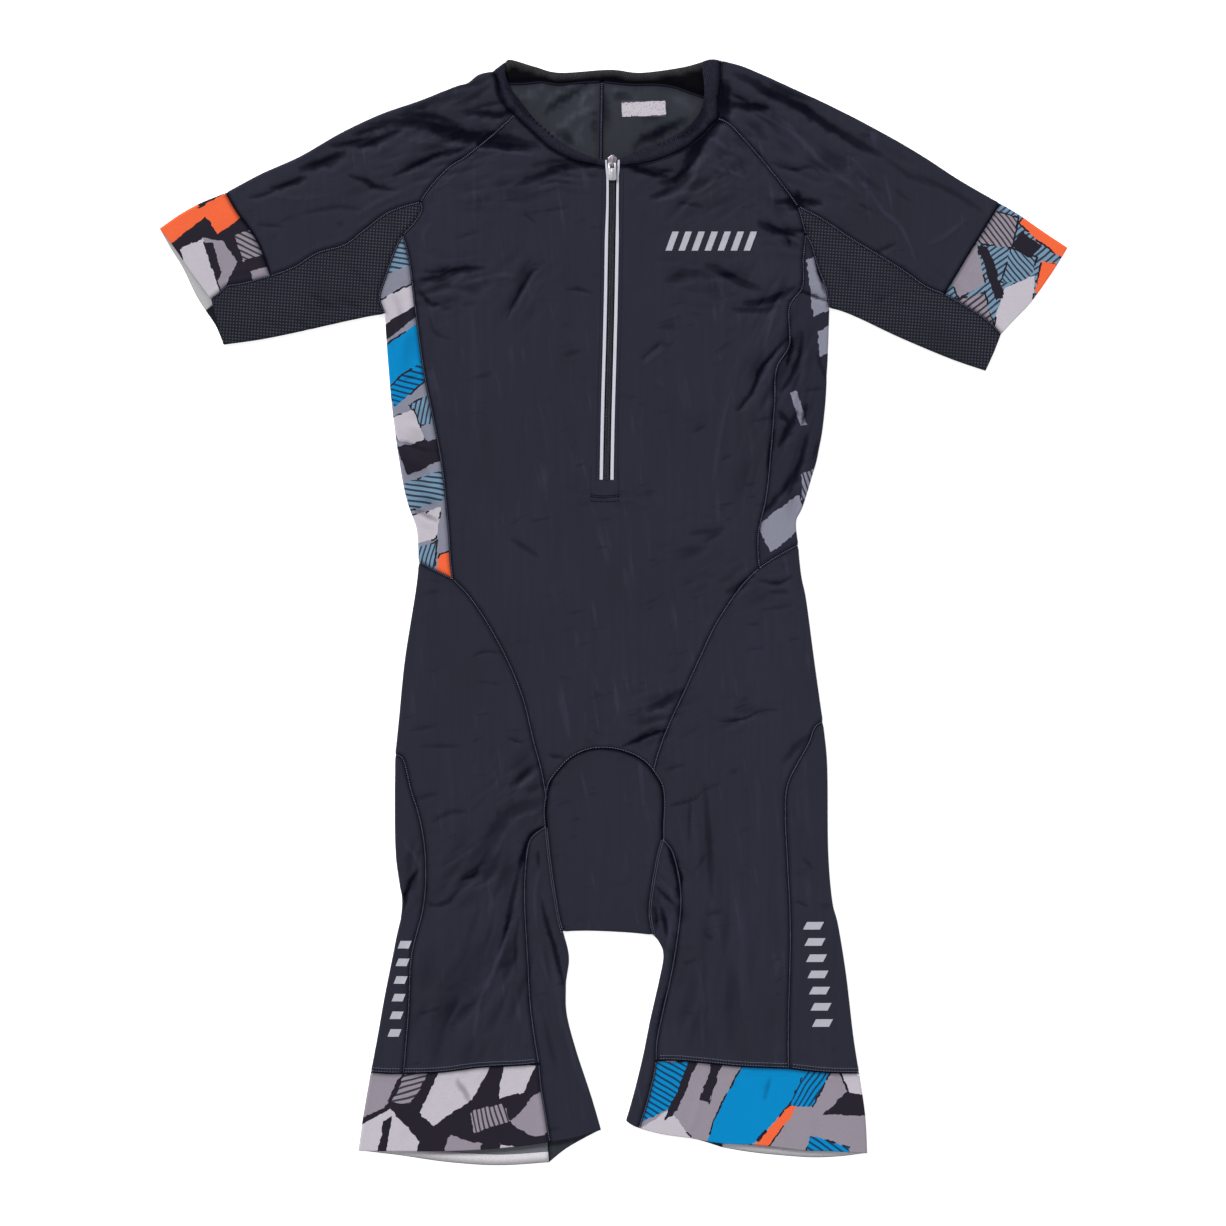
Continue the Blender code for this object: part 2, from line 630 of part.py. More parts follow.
def prism(mesh, outline, low, high):
    """Adds an upright prism over a closed outline of flat points."""
    bottom = [mesh.verts.new((x, y, low)) for x, y in outline]
    top = [mesh.verts.new((x, y, high)) for x, y in outline]
    mesh.faces.new(bottom[::-1])
    mesh.faces.new(top)
    count = len(outline)
    for i in range(count):
        j = (i + 1) % count
        mesh.faces.new((bottom[i], bottom[j], top[j], top[i]))


def strip(mesh, sections):
    """Closed skin over a run of four-cornered sections."""
    rings = [[mesh.verts.new(corner) for corner in section] for section in sections]
    mesh.faces.new(rings[0][::-1])
    mesh.faces.new(rings[-1])
    for one, two in zip(rings, rings[1:]):
        for k in range(4):
            mesh.faces.new((one[k], one[(k + 1) % 4], two[(k + 1) % 4], two[k]))


def join_solids(name, parts, collection, color, metallic):
    """One solid from overlapping simple ones, by exact union."""
    base = add_object(name, parts[0], collection, color, metallic)
    for index, part in enumerate(parts[1:]):
        tool = add_object(f"{name}_part{index}", part, collection, color, metallic)
        union = base.modifiers.new(f"Join{index}", "BOOLEAN")
        union.operation = "UNION"
        union.solver = "EXACT"
        union.object = tool
    bpy.context.view_layer.update()
    data = bpy.data.meshes.new_from_object(base.evaluated_get(bpy.context.evaluated_depsgraph_get()))
    base.modifiers.clear()
    base.data = data
    for index in range(len(parts) - 1):
        bpy.data.objects.remove(bpy.data.objects[f"{name}_part{index}"], do_unlink=True)
    return base


def zip_slider(surface, collection):
    """Two plates round the coil, a post at the nose and a bridge for the pull."""
    middle = place(612.3, SLIDER_Y)
    coil = surface.height(middle)
    half_gap = mm(COIL_WALL / 2 + SLIDER_PLAY)
    low = middle.y - mm(SLIDER_LENGTH / 2)
    high = middle.y + mm(SLIDER_LENGTH / 2)
    shape = [(middle.x + mm(half), high - mm(away)) for away, half in reversed(SLIDER_PLAN)]
    shape += [(middle.x - mm(half), high - mm(away)) for away, half in SLIDER_PLAN]
    top = coil + half_gap + mm(SLIDER_PLATE)
    upper = bmesh.new()
    prism(upper, shape, coil + half_gap, top)
    lower = bmesh.new()
    prism(lower, shape, coil - half_gap - mm(SLIDER_PLATE), coil - half_gap)
    post = bmesh.new()
    post_y = high - mm(2.6)
    prism(post, [(middle.x - mm(0.9), post_y), (middle.x + mm(0.9), post_y),
                 (middle.x + mm(0.9), high - mm(0.6)), (middle.x - mm(0.9), high - mm(0.6))],
          coil - half_gap - mm(SLIDER_PLATE / 2), coil + half_gap + mm(SLIDER_PLATE / 2))
    bridge = bmesh.new()
    x0 = middle.x - mm(BRIDGE_WIDTH / 2)
    x1 = middle.x + mm(BRIDGE_WIDTH / 2)
    under = top + mm(BRIDGE_CLEAR)
    path = ((low + mm(0.4), top - mm(0.4), low + mm(1.4), top - mm(0.4)),
            (low + mm(0.5), under - mm(0.3), low + mm(1.4), under - mm(0.5)),
            (low + mm(1.7), under + mm(BRIDGE_BAR), low + mm(2.0), under),
            (high - mm(3.8), under + mm(BRIDGE_BAR), high - mm(4.2), under),
            (high - mm(1.6), under - mm(0.4), high - mm(2.8), under - mm(0.8)),
            (high - mm(0.9), top - mm(0.4), high - mm(2.4), top - mm(0.4)))
    strip(bridge, [((x0, ya, za), (x1, ya, za), (x1, yb, zb), (x0, yb, zb)) for ya, za, yb, zb in path])
    return join_solids("zip_slider", [upper, lower, post, bridge], collection, COLORS["metal"], 1.0)


def zip_pull(surface, collection):
    """Round bar under the bridge, two arms, and a tab with a rib."""
    middle = place(612.3, PULL_AXIS_Y)
    coil = surface.height(place(612.3, SLIDER_Y))
    axis_z = coil + mm(COIL_WALL / 2 + SLIDER_PLAY + SLIDER_PLATE + PULL_BAR_RADIUS + 0.35)
    half = mm(PULL_WIDTH / 2)
    bar = bmesh.new()
    ends = Vector((middle.x - half, middle.x + half))
    rings = []
    for x in ends:
        ring = []
        for k in range(10):
            turn = math.tau * k / 10
            ring.append(bar.verts.new((x, middle.y + mm(PULL_BAR_RADIUS) * math.cos(turn),
                                       axis_z + mm(PULL_BAR_RADIUS) * math.sin(turn))))
        rings.append(ring)
    bar.faces.new(rings[0][::-1])
    bar.faces.new(rings[1])
    for k in range(10):
        bar.faces.new((rings[0][k], rings[0][(k + 1) % 10], rings[1][(k + 1) % 10], rings[1][k]))
    low = axis_z - mm(PULL_THICKNESS / 2)
    high = axis_z + mm(PULL_THICKNESS / 2)
    parts = [bar]
    eye = middle.y - mm(PULL_EYE)
    for sign in (-1.0, 1.0):
        arm = bmesh.new()
        outer = middle.x + sign * half
        inner = middle.x + sign * (half - mm(PULL_ARM))
        xs = sorted((outer, inner))
        prism(arm, [(xs[0], eye - mm(0.5)), (xs[1], eye - mm(0.5)), (xs[1], middle.y), (xs[0], middle.y)], low, high)
        parts.append(arm)
    tab = bmesh.new()
    end = middle.y - mm(PULL_LENGTH)
    cut = mm(1.2)
    prism(tab, [(middle.x - half + cut, end), (middle.x + half - cut, end), (middle.x + half, end + cut),
                (middle.x + half, eye), (middle.x - half, eye), (middle.x - half, end + cut)], low, high)
    parts.append(tab)
    rib = bmesh.new()
    prism(rib, [(middle.x - mm(0.9), end + mm(1.6)), (middle.x + mm(0.9), end + mm(1.6)),
                (middle.x + mm(0.9), eye - mm(1.0)), (middle.x - mm(0.9), eye - mm(1.0))],
          high - mm(0.3), high + mm(0.35))
    parts.append(rib)
    return join_solids("zip_pull", parts, collection, COLORS["metal"], 1.0)


def main():
    for old in list(bpy.data.objects):
        bpy.data.objects.remove(old, do_unlink=True)
    collection = bpy.data.collections.new("triathlon_suit")
    bpy.context.scene.collection.children.link(collection)
    lines, middle = draft()
    surface = Surface(lines)

    def sided(names, side):
        return tuple(name if name in lines else name + side for name in names)

    tint = {"cuff": "print", "hem_band": "print", "side_panel": "print", "underarm": "mesh"}
    for name, wall, front, back in SIDE_PIECES:
        for side in ("r", "l"):
            fronts = [sided(front, "_" + side)] if front else []
            backs = [sided(back, "_" + side)]
            cloth_piece(f"{name}_{SIDE_NAMES[side]}", wall, fronts, backs, lines, surface, collection,
                        COLORS[tint.get(name, "cloth")])
    body = ("neck_front_r", "raglan_r", "raglan_low_r", "body_side_r", "leg_curve_r", "arch", "leg_curve_l",
            "body_side_l", "raglan_low_l", "raglan_l", "neck_front_l", "zip_side_l", "zip_bottom", "zip_side_r")
    cloth_piece("front_body", CLOTH_WALL, [body], [], lines, surface, collection, COLORS["cloth"])
    crotch_front = ("arch", "crotch_side_l", "crotch_low_l", "crotch_fold", "crotch_low_r", "crotch_side_r")
    crotch_back = ("back_arch_r", "back_crotch_r", "crotch_fold", "back_crotch_l", "back_arch_l")
    cloth_piece("crotch_panel", CLOTH_WALL, [crotch_front], [crotch_back], lines, surface, collection,
                COLORS["cloth"])
    band_fronts = [tuple(name + side for name in ("neck_fold", "neck_side", "neck_front", "zip_top", "neck_edge"))
                   for side in ("_r", "_l")]
    band_back = ("neck_fold_r", "back_neck_side_r", "back_neck_r", "back_neck_l", "back_neck_side_l",
                 "neck_fold_l", "back_neck_edge")
    cloth_piece("neck_band", BAND_WALL, band_fronts, [band_back], lines, surface, collection, COLORS["band"])

    tape_in = COIL_HALF_WIDTH + SEAM_GAP
    tape_out = ZIP_HALF_WIDTH - SEAM_GAP / 2
    ribbon("zip_tape_right", TAPE_WALL, middle, -tape_out, -tape_in, 0.0, surface, collection, COLORS["tape"])
    ribbon("zip_tape_left", TAPE_WALL, middle, tape_in, tape_out, 0.0, surface, collection, COLORS["tape"])
    ribbon("zip_coil", COIL_WALL, middle, -COIL_HALF_WIDTH, COIL_HALF_WIDTH, 0.0, surface, collection,
           COLORS["coil"])
    zip_slider(surface, collection)
    zip_pull(surface, collection)


main()
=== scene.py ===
import math
from functools import partial, partialmethod
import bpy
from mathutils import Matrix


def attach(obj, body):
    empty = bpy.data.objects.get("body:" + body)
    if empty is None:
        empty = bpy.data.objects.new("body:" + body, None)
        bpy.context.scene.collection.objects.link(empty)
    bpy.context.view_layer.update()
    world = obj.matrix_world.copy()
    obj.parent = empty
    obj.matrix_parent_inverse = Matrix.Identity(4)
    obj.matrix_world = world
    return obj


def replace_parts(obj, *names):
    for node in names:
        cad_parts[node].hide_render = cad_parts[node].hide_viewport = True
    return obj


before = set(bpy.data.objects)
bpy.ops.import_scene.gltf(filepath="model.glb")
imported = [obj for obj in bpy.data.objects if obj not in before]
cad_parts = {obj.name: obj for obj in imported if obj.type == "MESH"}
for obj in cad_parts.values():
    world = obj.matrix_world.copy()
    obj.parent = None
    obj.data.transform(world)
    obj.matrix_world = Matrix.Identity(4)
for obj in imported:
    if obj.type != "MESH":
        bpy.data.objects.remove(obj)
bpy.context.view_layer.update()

from types import SimpleNamespace

import bmesh
import bpy
import numpy as np
from bpy.props import FloatProperty, FloatVectorProperty, PointerProperty
from mathutils import Vector, noise
from mathutils.geometry import delaunay_2d_cdt
from mathutils.kdtree import KDTree

bl_info = {
    "name": "Triathlon suit, laid flat",
    "version": (1, 0, 0),
    "blender": (4, 5, 0),
    "location": "View3D > Sidebar > Suit",
    "description": "Builds the cloth, seams, zip and finishes of a triathlon suit that lies flat",
    "category": "Object",
}

GARMENT = "garment"
PULL = "zip_pull"

# ---------------------------------------------------------------- pattern
# The pattern's sheet is in millimetres: x runs across, y runs down from its top.
# Sides are the wearer's: "r" is the wearer's right, at -X, and "l" the left.
SHEET_MIDDLE = (613.493, 612.909)

# Where lines meet: name, then x and y on the wearer's right and on the left
POINTS = (
    ("neck_fold_out", 493, 72, 720, 61), ("neck_fold_in", 505, 63, 703, 62),
    ("neck_raglan", 515, 116, 717, 119), ("zip_neck", 605.3, 168, 619.9, 167),
    ("zip_open", 605.3, 161, 619.9, 160), ("raglan_mesh", 421, 203, 798, 207),
    ("side_top", 403, 236, 805.5, 235), ("cuff_mesh", 271, 277, 944, 295),
    ("cuff_end", 212, 300, 1000, 335), ("cuff_fold", 226, 193.5, 1000, 204),
    ("cuff_top", 160, 229, 1067, 248), ("cuff_low", 224, 345, 985, 371), ("armpit", 385, 314, 829, 308),
    ("waist_fold", 419, 562, 798, 545), ("waist_body", 453, 579, 759, 568),
    ("arch_side", 547, 800, 653, 772), ("inner_top", 547, 826, 662, 838),
    ("crotch_end", 563, 931, 653, 934.5), ("outer_top", 395.5, 754, 822.5, 721),
    ("outer_hem", 404, 1073, 788, 1068), ("hem_fold_top", 371, 1072, 859, 1073),
    ("hem_inner", 539, 1063, 656, 1060), ("hem_end", 550, 1141, 639, 1127),
    ("hem_out", 358.5, 1150, 867, 1152.5), ("hem_in", 601, 1129, 626, 1120),
    ("back_neck_raglan", 506.5, 84, 706, 98.5), ("back_inner_top", 562, 890, 652, 890),
    ("back_hem_inner", 540, 1063, 702, 1062), ("back_hem_end", 549, 1162, 722, 1147),
    ("back_cuff_end", 206, 311, 1001, 333),
)
MIDDLE_POINTS = (
    ("back_neck_mid", 602, 82), ("back_waist_mid", 605, 560), ("back_crotch_mid", 606, 842),
)

# Lines: name, kind, start, end, then the points on the way on the right and on the left
LINES = (
    ("shoulder_out", "fold", "cuff_top", "cuff_fold", (180, 215, 202, 203), (1040, 230, 1020, 216)),
    ("shoulder_in", "fold", "cuff_fold", "neck_fold_out",
     (260, 175, 300, 157, 340, 134, 380, 115, 420, 101, 455, 87, 468, 83, 479, 75),
     (960, 181, 920, 155, 880, 132, 840, 111, 800, 92, 760, 74, 740, 66)),
    ("sleeve_low", "fold", "cuff_low", "armpit", (260, 340, 300, 332, 340, 323, 368, 317),
     (950, 359, 900, 338, 862, 320, 843, 312)),
    ("side", "fold", "armpit", "waist_fold", (387, 345, 392, 405, 400, 465, 407, 500, 416, 526, 418, 542),
     (828, 345, 825, 405, 819, 450, 811, 480, 802, 508, 796, 522)),
    ("hip", "fold", "waist_fold", "outer_top", (416, 590, 405, 660, 399, 720),
     (801, 575, 806, 600, 814, 660)),
    ("thigh", "fold", "outer_top", "hem_fold_top",
     (395, 800, 396, 855, 402, 905, 396, 940, 385, 995, 378, 1035),
     (827, 765, 828, 850, 832, 900, 838, 925, 846, 975, 853, 1035)),
    ("hem_fold", "fold", "hem_fold_top", "hem_out", (364, 1112), (865, 1115)),
    ("inner_fold", "fold", "crotch_end", "hem_in", (569, 956, 566, 985, 567, 1015, 576, 1050, 591, 1095),
     (658.5, 941, 663.5, 955, 659, 980, 650, 1020, 643, 1055, 634, 1092)),
    ("neck_fold", "fold", "neck_fold_out", "neck_fold_in", (499.5, 67), (711, 60)),
    ("neck_edge", "free", "neck_fold_in", "zip_open",
     (505.5, 75, 508, 83, 512, 91, 519, 100, 526, 109, 533, 118, 542, 127.5, 552, 136, 563, 144, 575, 151,
      589, 157),
     (702.5, 73, 703.8, 84, 704, 97, 701, 110, 694, 121, 684, 129.5, 673, 137, 660, 143, 647, 147.5,
      636, 151.5, 628, 156)),
    ("cuff_edge", "free", "cuff_top", "cuff_end", (175, 248, 190, 270, 203, 288),
     (1050, 275, 1030, 303, 1014, 320)),
    ("mesh_edge", "free", "cuff_end", "cuff_low", (218, 322), (993, 353)),
    ("hem_edge", "free", "hem_out", "hem_end", (400, 1150, 440, 1150, 480, 1148.5, 520, 1145),
     (830, 1150, 800, 1149, 760, 1144, 720, 1142, 690, 1137, 662, 1133)),
    ("hem_edge_in", "free", "hem_end", "hem_in", (577, 1136), (632, 1124)),
    ("neck_side", "seam", "neck_fold_out", "neck_raglan", (497, 82, 499, 95, 506, 107),
     (720, 80, 719, 95, 718, 108)),
    ("neck_front", "seam", "neck_raglan", "zip_neck",
     (525, 125.5, 534.5, 134.5, 544.5, 144, 555, 152, 573, 160.5, 588, 165),
     (710, 127, 701.5, 136.5, 688, 146.5, 674, 154, 659, 160, 641, 164.5)),
    ("zip_top", "seam", "zip_neck", "zip_open", (), ()),
    ("raglan", "seam", "neck_raglan", "raglan_mesh", (494, 135, 467, 157, 449, 169, 430, 189),
     (729, 125, 750, 147, 770, 171, 787, 192)),
    ("raglan_low", "seam", "raglan_mesh", "side_top", (422, 212, 413, 226), (802, 222)),
    ("mesh_top", "seam", "raglan_mesh", "cuff_mesh", (390, 213, 364, 232, 345, 246, 318, 254, 295, 268),
     (825, 222, 850, 239, 875, 254, 905, 273, 925, 287)),
    ("mesh_out", "seam", "cuff_mesh", "cuff_end", (245, 284, 228, 287, 220, 294), (960, 304, 985, 320)),
    ("cuff_seam", "seam", "cuff_fold", "cuff_mesh", (238, 214, 250, 230, 261, 249),
     (985, 228, 967, 257, 955, 277)),
    ("side_mesh", "seam", "side_top", "armpit", (395, 252, 386, 278, 380, 298),
     (811, 245, 818, 268, 826, 290)),
    ("body_side", "seam", "side_top", "waist_body",
     (410, 262, 416, 310, 424, 370, 434, 420, 443, 470, 449, 530, 451, 562),
     (803, 260, 802, 288, 789, 308, 789, 345, 776, 370, 774, 410, 767, 490, 758, 535)),
    ("waist", "seam", "waist_fold", "waist_body", (436, 571), (778, 556)),
    ("leg_curve", "seam", "waist_body", "arch_side",
     (470, 597, 490, 627, 510, 665, 524, 701, 534, 742, 541, 768),
     (740, 588, 717, 622, 700, 657, 686, 688, 670, 722, 659, 750)),
    ("crotch_side", "seam", "arch_side", "inner_top", (546, 812), (661, 786, 663, 805, 662, 822)),
    ("crotch_low", "seam", "inner_top", "crotch_end", (550, 855, 554, 885, 559, 915),
     (657, 857, 652, 885, 649, 912)),
    ("inner", "seam", "inner_top", "hem_inner", (531, 839, 526, 865, 525, 905, 528, 960, 531, 1010),
     (673, 853, 680, 885, 680, 915, 673, 965, 662, 1015, 657, 1040)),
    ("inner_low", "seam", "hem_inner", "hem_end", (541, 1085, 545, 1110), (653, 1078, 646, 1105)),
    ("hem_seam_out", "seam", "hem_fold_top", "outer_hem", (388, 1073), (825, 1072)),
    ("hem_seam", "seam", "outer_hem", "hem_inner", (440, 1072, 480, 1067, 520, 1065),
     (740, 1066, 700, 1062, 675, 1060)),
    ("outer", "seam", "outer_top", "outer_hem",
     (404, 760, 411, 788, 421, 822, 426, 860, 424, 905, 412, 955, 409, 1010),
     (814, 728, 808, 744, 788, 782, 785, 815, 787, 860, 790, 930, 788, 1020)),
    ("back_neck_side", "seam", "neck_fold_out", "back_neck_raglan", (499, 79), (717, 82, 712, 93)),
    ("back_neck", "seam", "back_neck_raglan", "back_neck_mid", (523, 84, 541, 82.5, 560, 85, 580, 83),
     (690, 93, 674, 87.5, 655, 84.8, 632, 85)),
    ("back_raglan", "seam", "back_neck_raglan", "raglan_mesh", (498, 112, 468, 146, 440, 178),
     (712, 118, 742, 149, 775, 182)),
    ("back_waist", "seam", "waist_body", "back_waist_mid", (500, 574, 550, 565), (715, 562, 660, 560)),
    ("back_arch", "seam", "back_crotch_mid", "back_inner_top", (582, 848, 567, 866), (632, 848, 648, 866)),
    ("back_crotch", "seam", "back_inner_top", "crotch_end", (561, 912), (651, 912)),
    ("back_inner", "seam", "back_inner_top", "back_hem_inner", (546, 905, 535, 940, 531, 990, 535, 1035),
     (668, 908, 680, 950, 691, 1010)),
    ("back_inner_low", "seam", "back_hem_inner", "back_hem_end", (545, 1110), (712, 1108)),
    ("back_hem_seam", "seam", "outer_hem", "back_hem_inner", (440, 1072, 480, 1067, 520, 1065),
     (745, 1065)),
    ("back_hem_edge", "free", "hem_out", "back_hem_end", (400, 1155, 450, 1162, 500, 1165),
     (840, 1156, 810, 1157, 770, 1154, 745, 1151)),
    ("back_hem_edge_in", "free", "back_hem_end", "hem_in", (565, 1149, 582, 1139),
     (700, 1140, 665, 1131, 640, 1125)),
    ("back_mesh_out", "seam", "cuff_mesh", "back_cuff_end", (242, 287, 222, 299), (960, 304, 985, 320)),
    ("back_cuff_edge", "free", "cuff_top", "back_cuff_end", (170, 247, 183, 268, 196, 295),
     (1048, 275, 1028, 303, 1013, 320)),
    ("back_mesh_edge", "free", "back_cuff_end", "cuff_low", (216, 326), (993, 352)),
)
MIDDLE_LINES = (
    ("crotch_fold", "fold", "crotch_end_r", "crotch_end_l", (590, 930.5, 625, 932)),
    ("arch", "seam", "arch_side_r", "arch_side_l",
     (550, 784, 558, 772, 572, 758, 590, 750, 610, 749, 630, 754, 644, 762)),
    ("back_neck_edge", "free", "neck_fold_in_r", "neck_fold_in_l",
     (511, 60, 535, 67, 560, 73, 610, 70, 640, 73, 680, 68)),
    ("back_mid", "seam", "back_neck_mid", "back_waist_mid", (601, 160, 602, 300, 604, 450)),
    ("seat_mid", "seam", "back_waist_mid", "back_crotch_mid", (606, 700)),
)

# The zip's middle line: columns are y, x
ZIP_PATH = ((161, 612.6), (185, 612.8), (215, 612.5), (240, 612.0), (300, 611.0), (350, 609.8),
            (400, 608.4), (440, 607.5), (480, 606.8))
ZIP_HALF_WIDTH = 7.3

# Cut pieces, one on each side: name, lines of the front layer, lines of the back layer
SIDE_PIECES = {
    "sleeve": (("raglan", "mesh_top", "cuff_seam", "shoulder_in", "neck_side"),
               ("back_raglan", "mesh_top", "cuff_seam", "shoulder_in", "back_neck_side")),
    "underarm": (("raglan_low", "side_mesh", "sleeve_low", "mesh_edge", "mesh_out", "mesh_top"),
                 ("raglan_low", "side_mesh", "sleeve_low", "back_mesh_edge", "back_mesh_out", "mesh_top")),
    "cuff": (("shoulder_out", "cuff_seam", "mesh_out", "cuff_edge"),
             ("shoulder_out", "cuff_seam", "back_mesh_out", "back_cuff_edge")),
    "side_panel": (("side_mesh", "side", "waist", "body_side"),
                   ("side_mesh", "side", "waist", "body_side")),
    "leg": (("waist", "leg_curve", "crotch_side", "inner", "hem_seam", "outer", "hip"),
            ("waist", "back_waist", "seat_mid", "back_arch", "back_inner", "back_hem_seam", "outer", "hip")),
    "outer_thigh": (("outer", "hem_seam_out", "thigh"), ("outer", "hem_seam_out", "thigh")),
    "hem_band": (("hem_seam_out", "hem_seam", "inner_low", "hem_edge", "hem_fold"),
                 ("hem_seam_out", "back_hem_seam", "back_inner_low", "back_hem_edge", "hem_fold")),
    "inner_thigh": (("crotch_low", "inner", "inner_low", "hem_edge_in", "inner_fold"),
                    ("back_crotch", "back_inner", "back_inner_low", "back_hem_edge_in", "inner_fold")),
    "back": ((), ("back_neck", "back_raglan", "raglan_low", "body_side", "back_waist", "back_mid")),
}
FRONT_BODY = ("neck_front_r", "raglan_r", "raglan_low_r", "body_side_r", "leg_curve_r", "arch",
              "leg_curve_l", "body_side_l", "raglan_low_l", "raglan_l", "neck_front_l", "zip_side_l",
              "zip_bottom", "zip_side_r")
CROTCH_FRONT = ("arch", "crotch_side_l", "crotch_low_l", "crotch_fold", "crotch_low_r", "crotch_side_r")
CROTCH_BACK = ("back_arch_r", "back_crotch_r", "crotch_fold", "back_crotch_l", "back_arch_l")
BAND_FRONT = ("neck_fold", "neck_side", "neck_front", "zip_top", "neck_edge")
BAND_BACK = ("neck_fold_r", "back_neck_side_r", "back_neck_r", "back_neck_l", "back_neck_side_l",
             "neck_fold_l", "back_neck_edge")
SIDES = (("_r", "right"), ("_l", "left"))

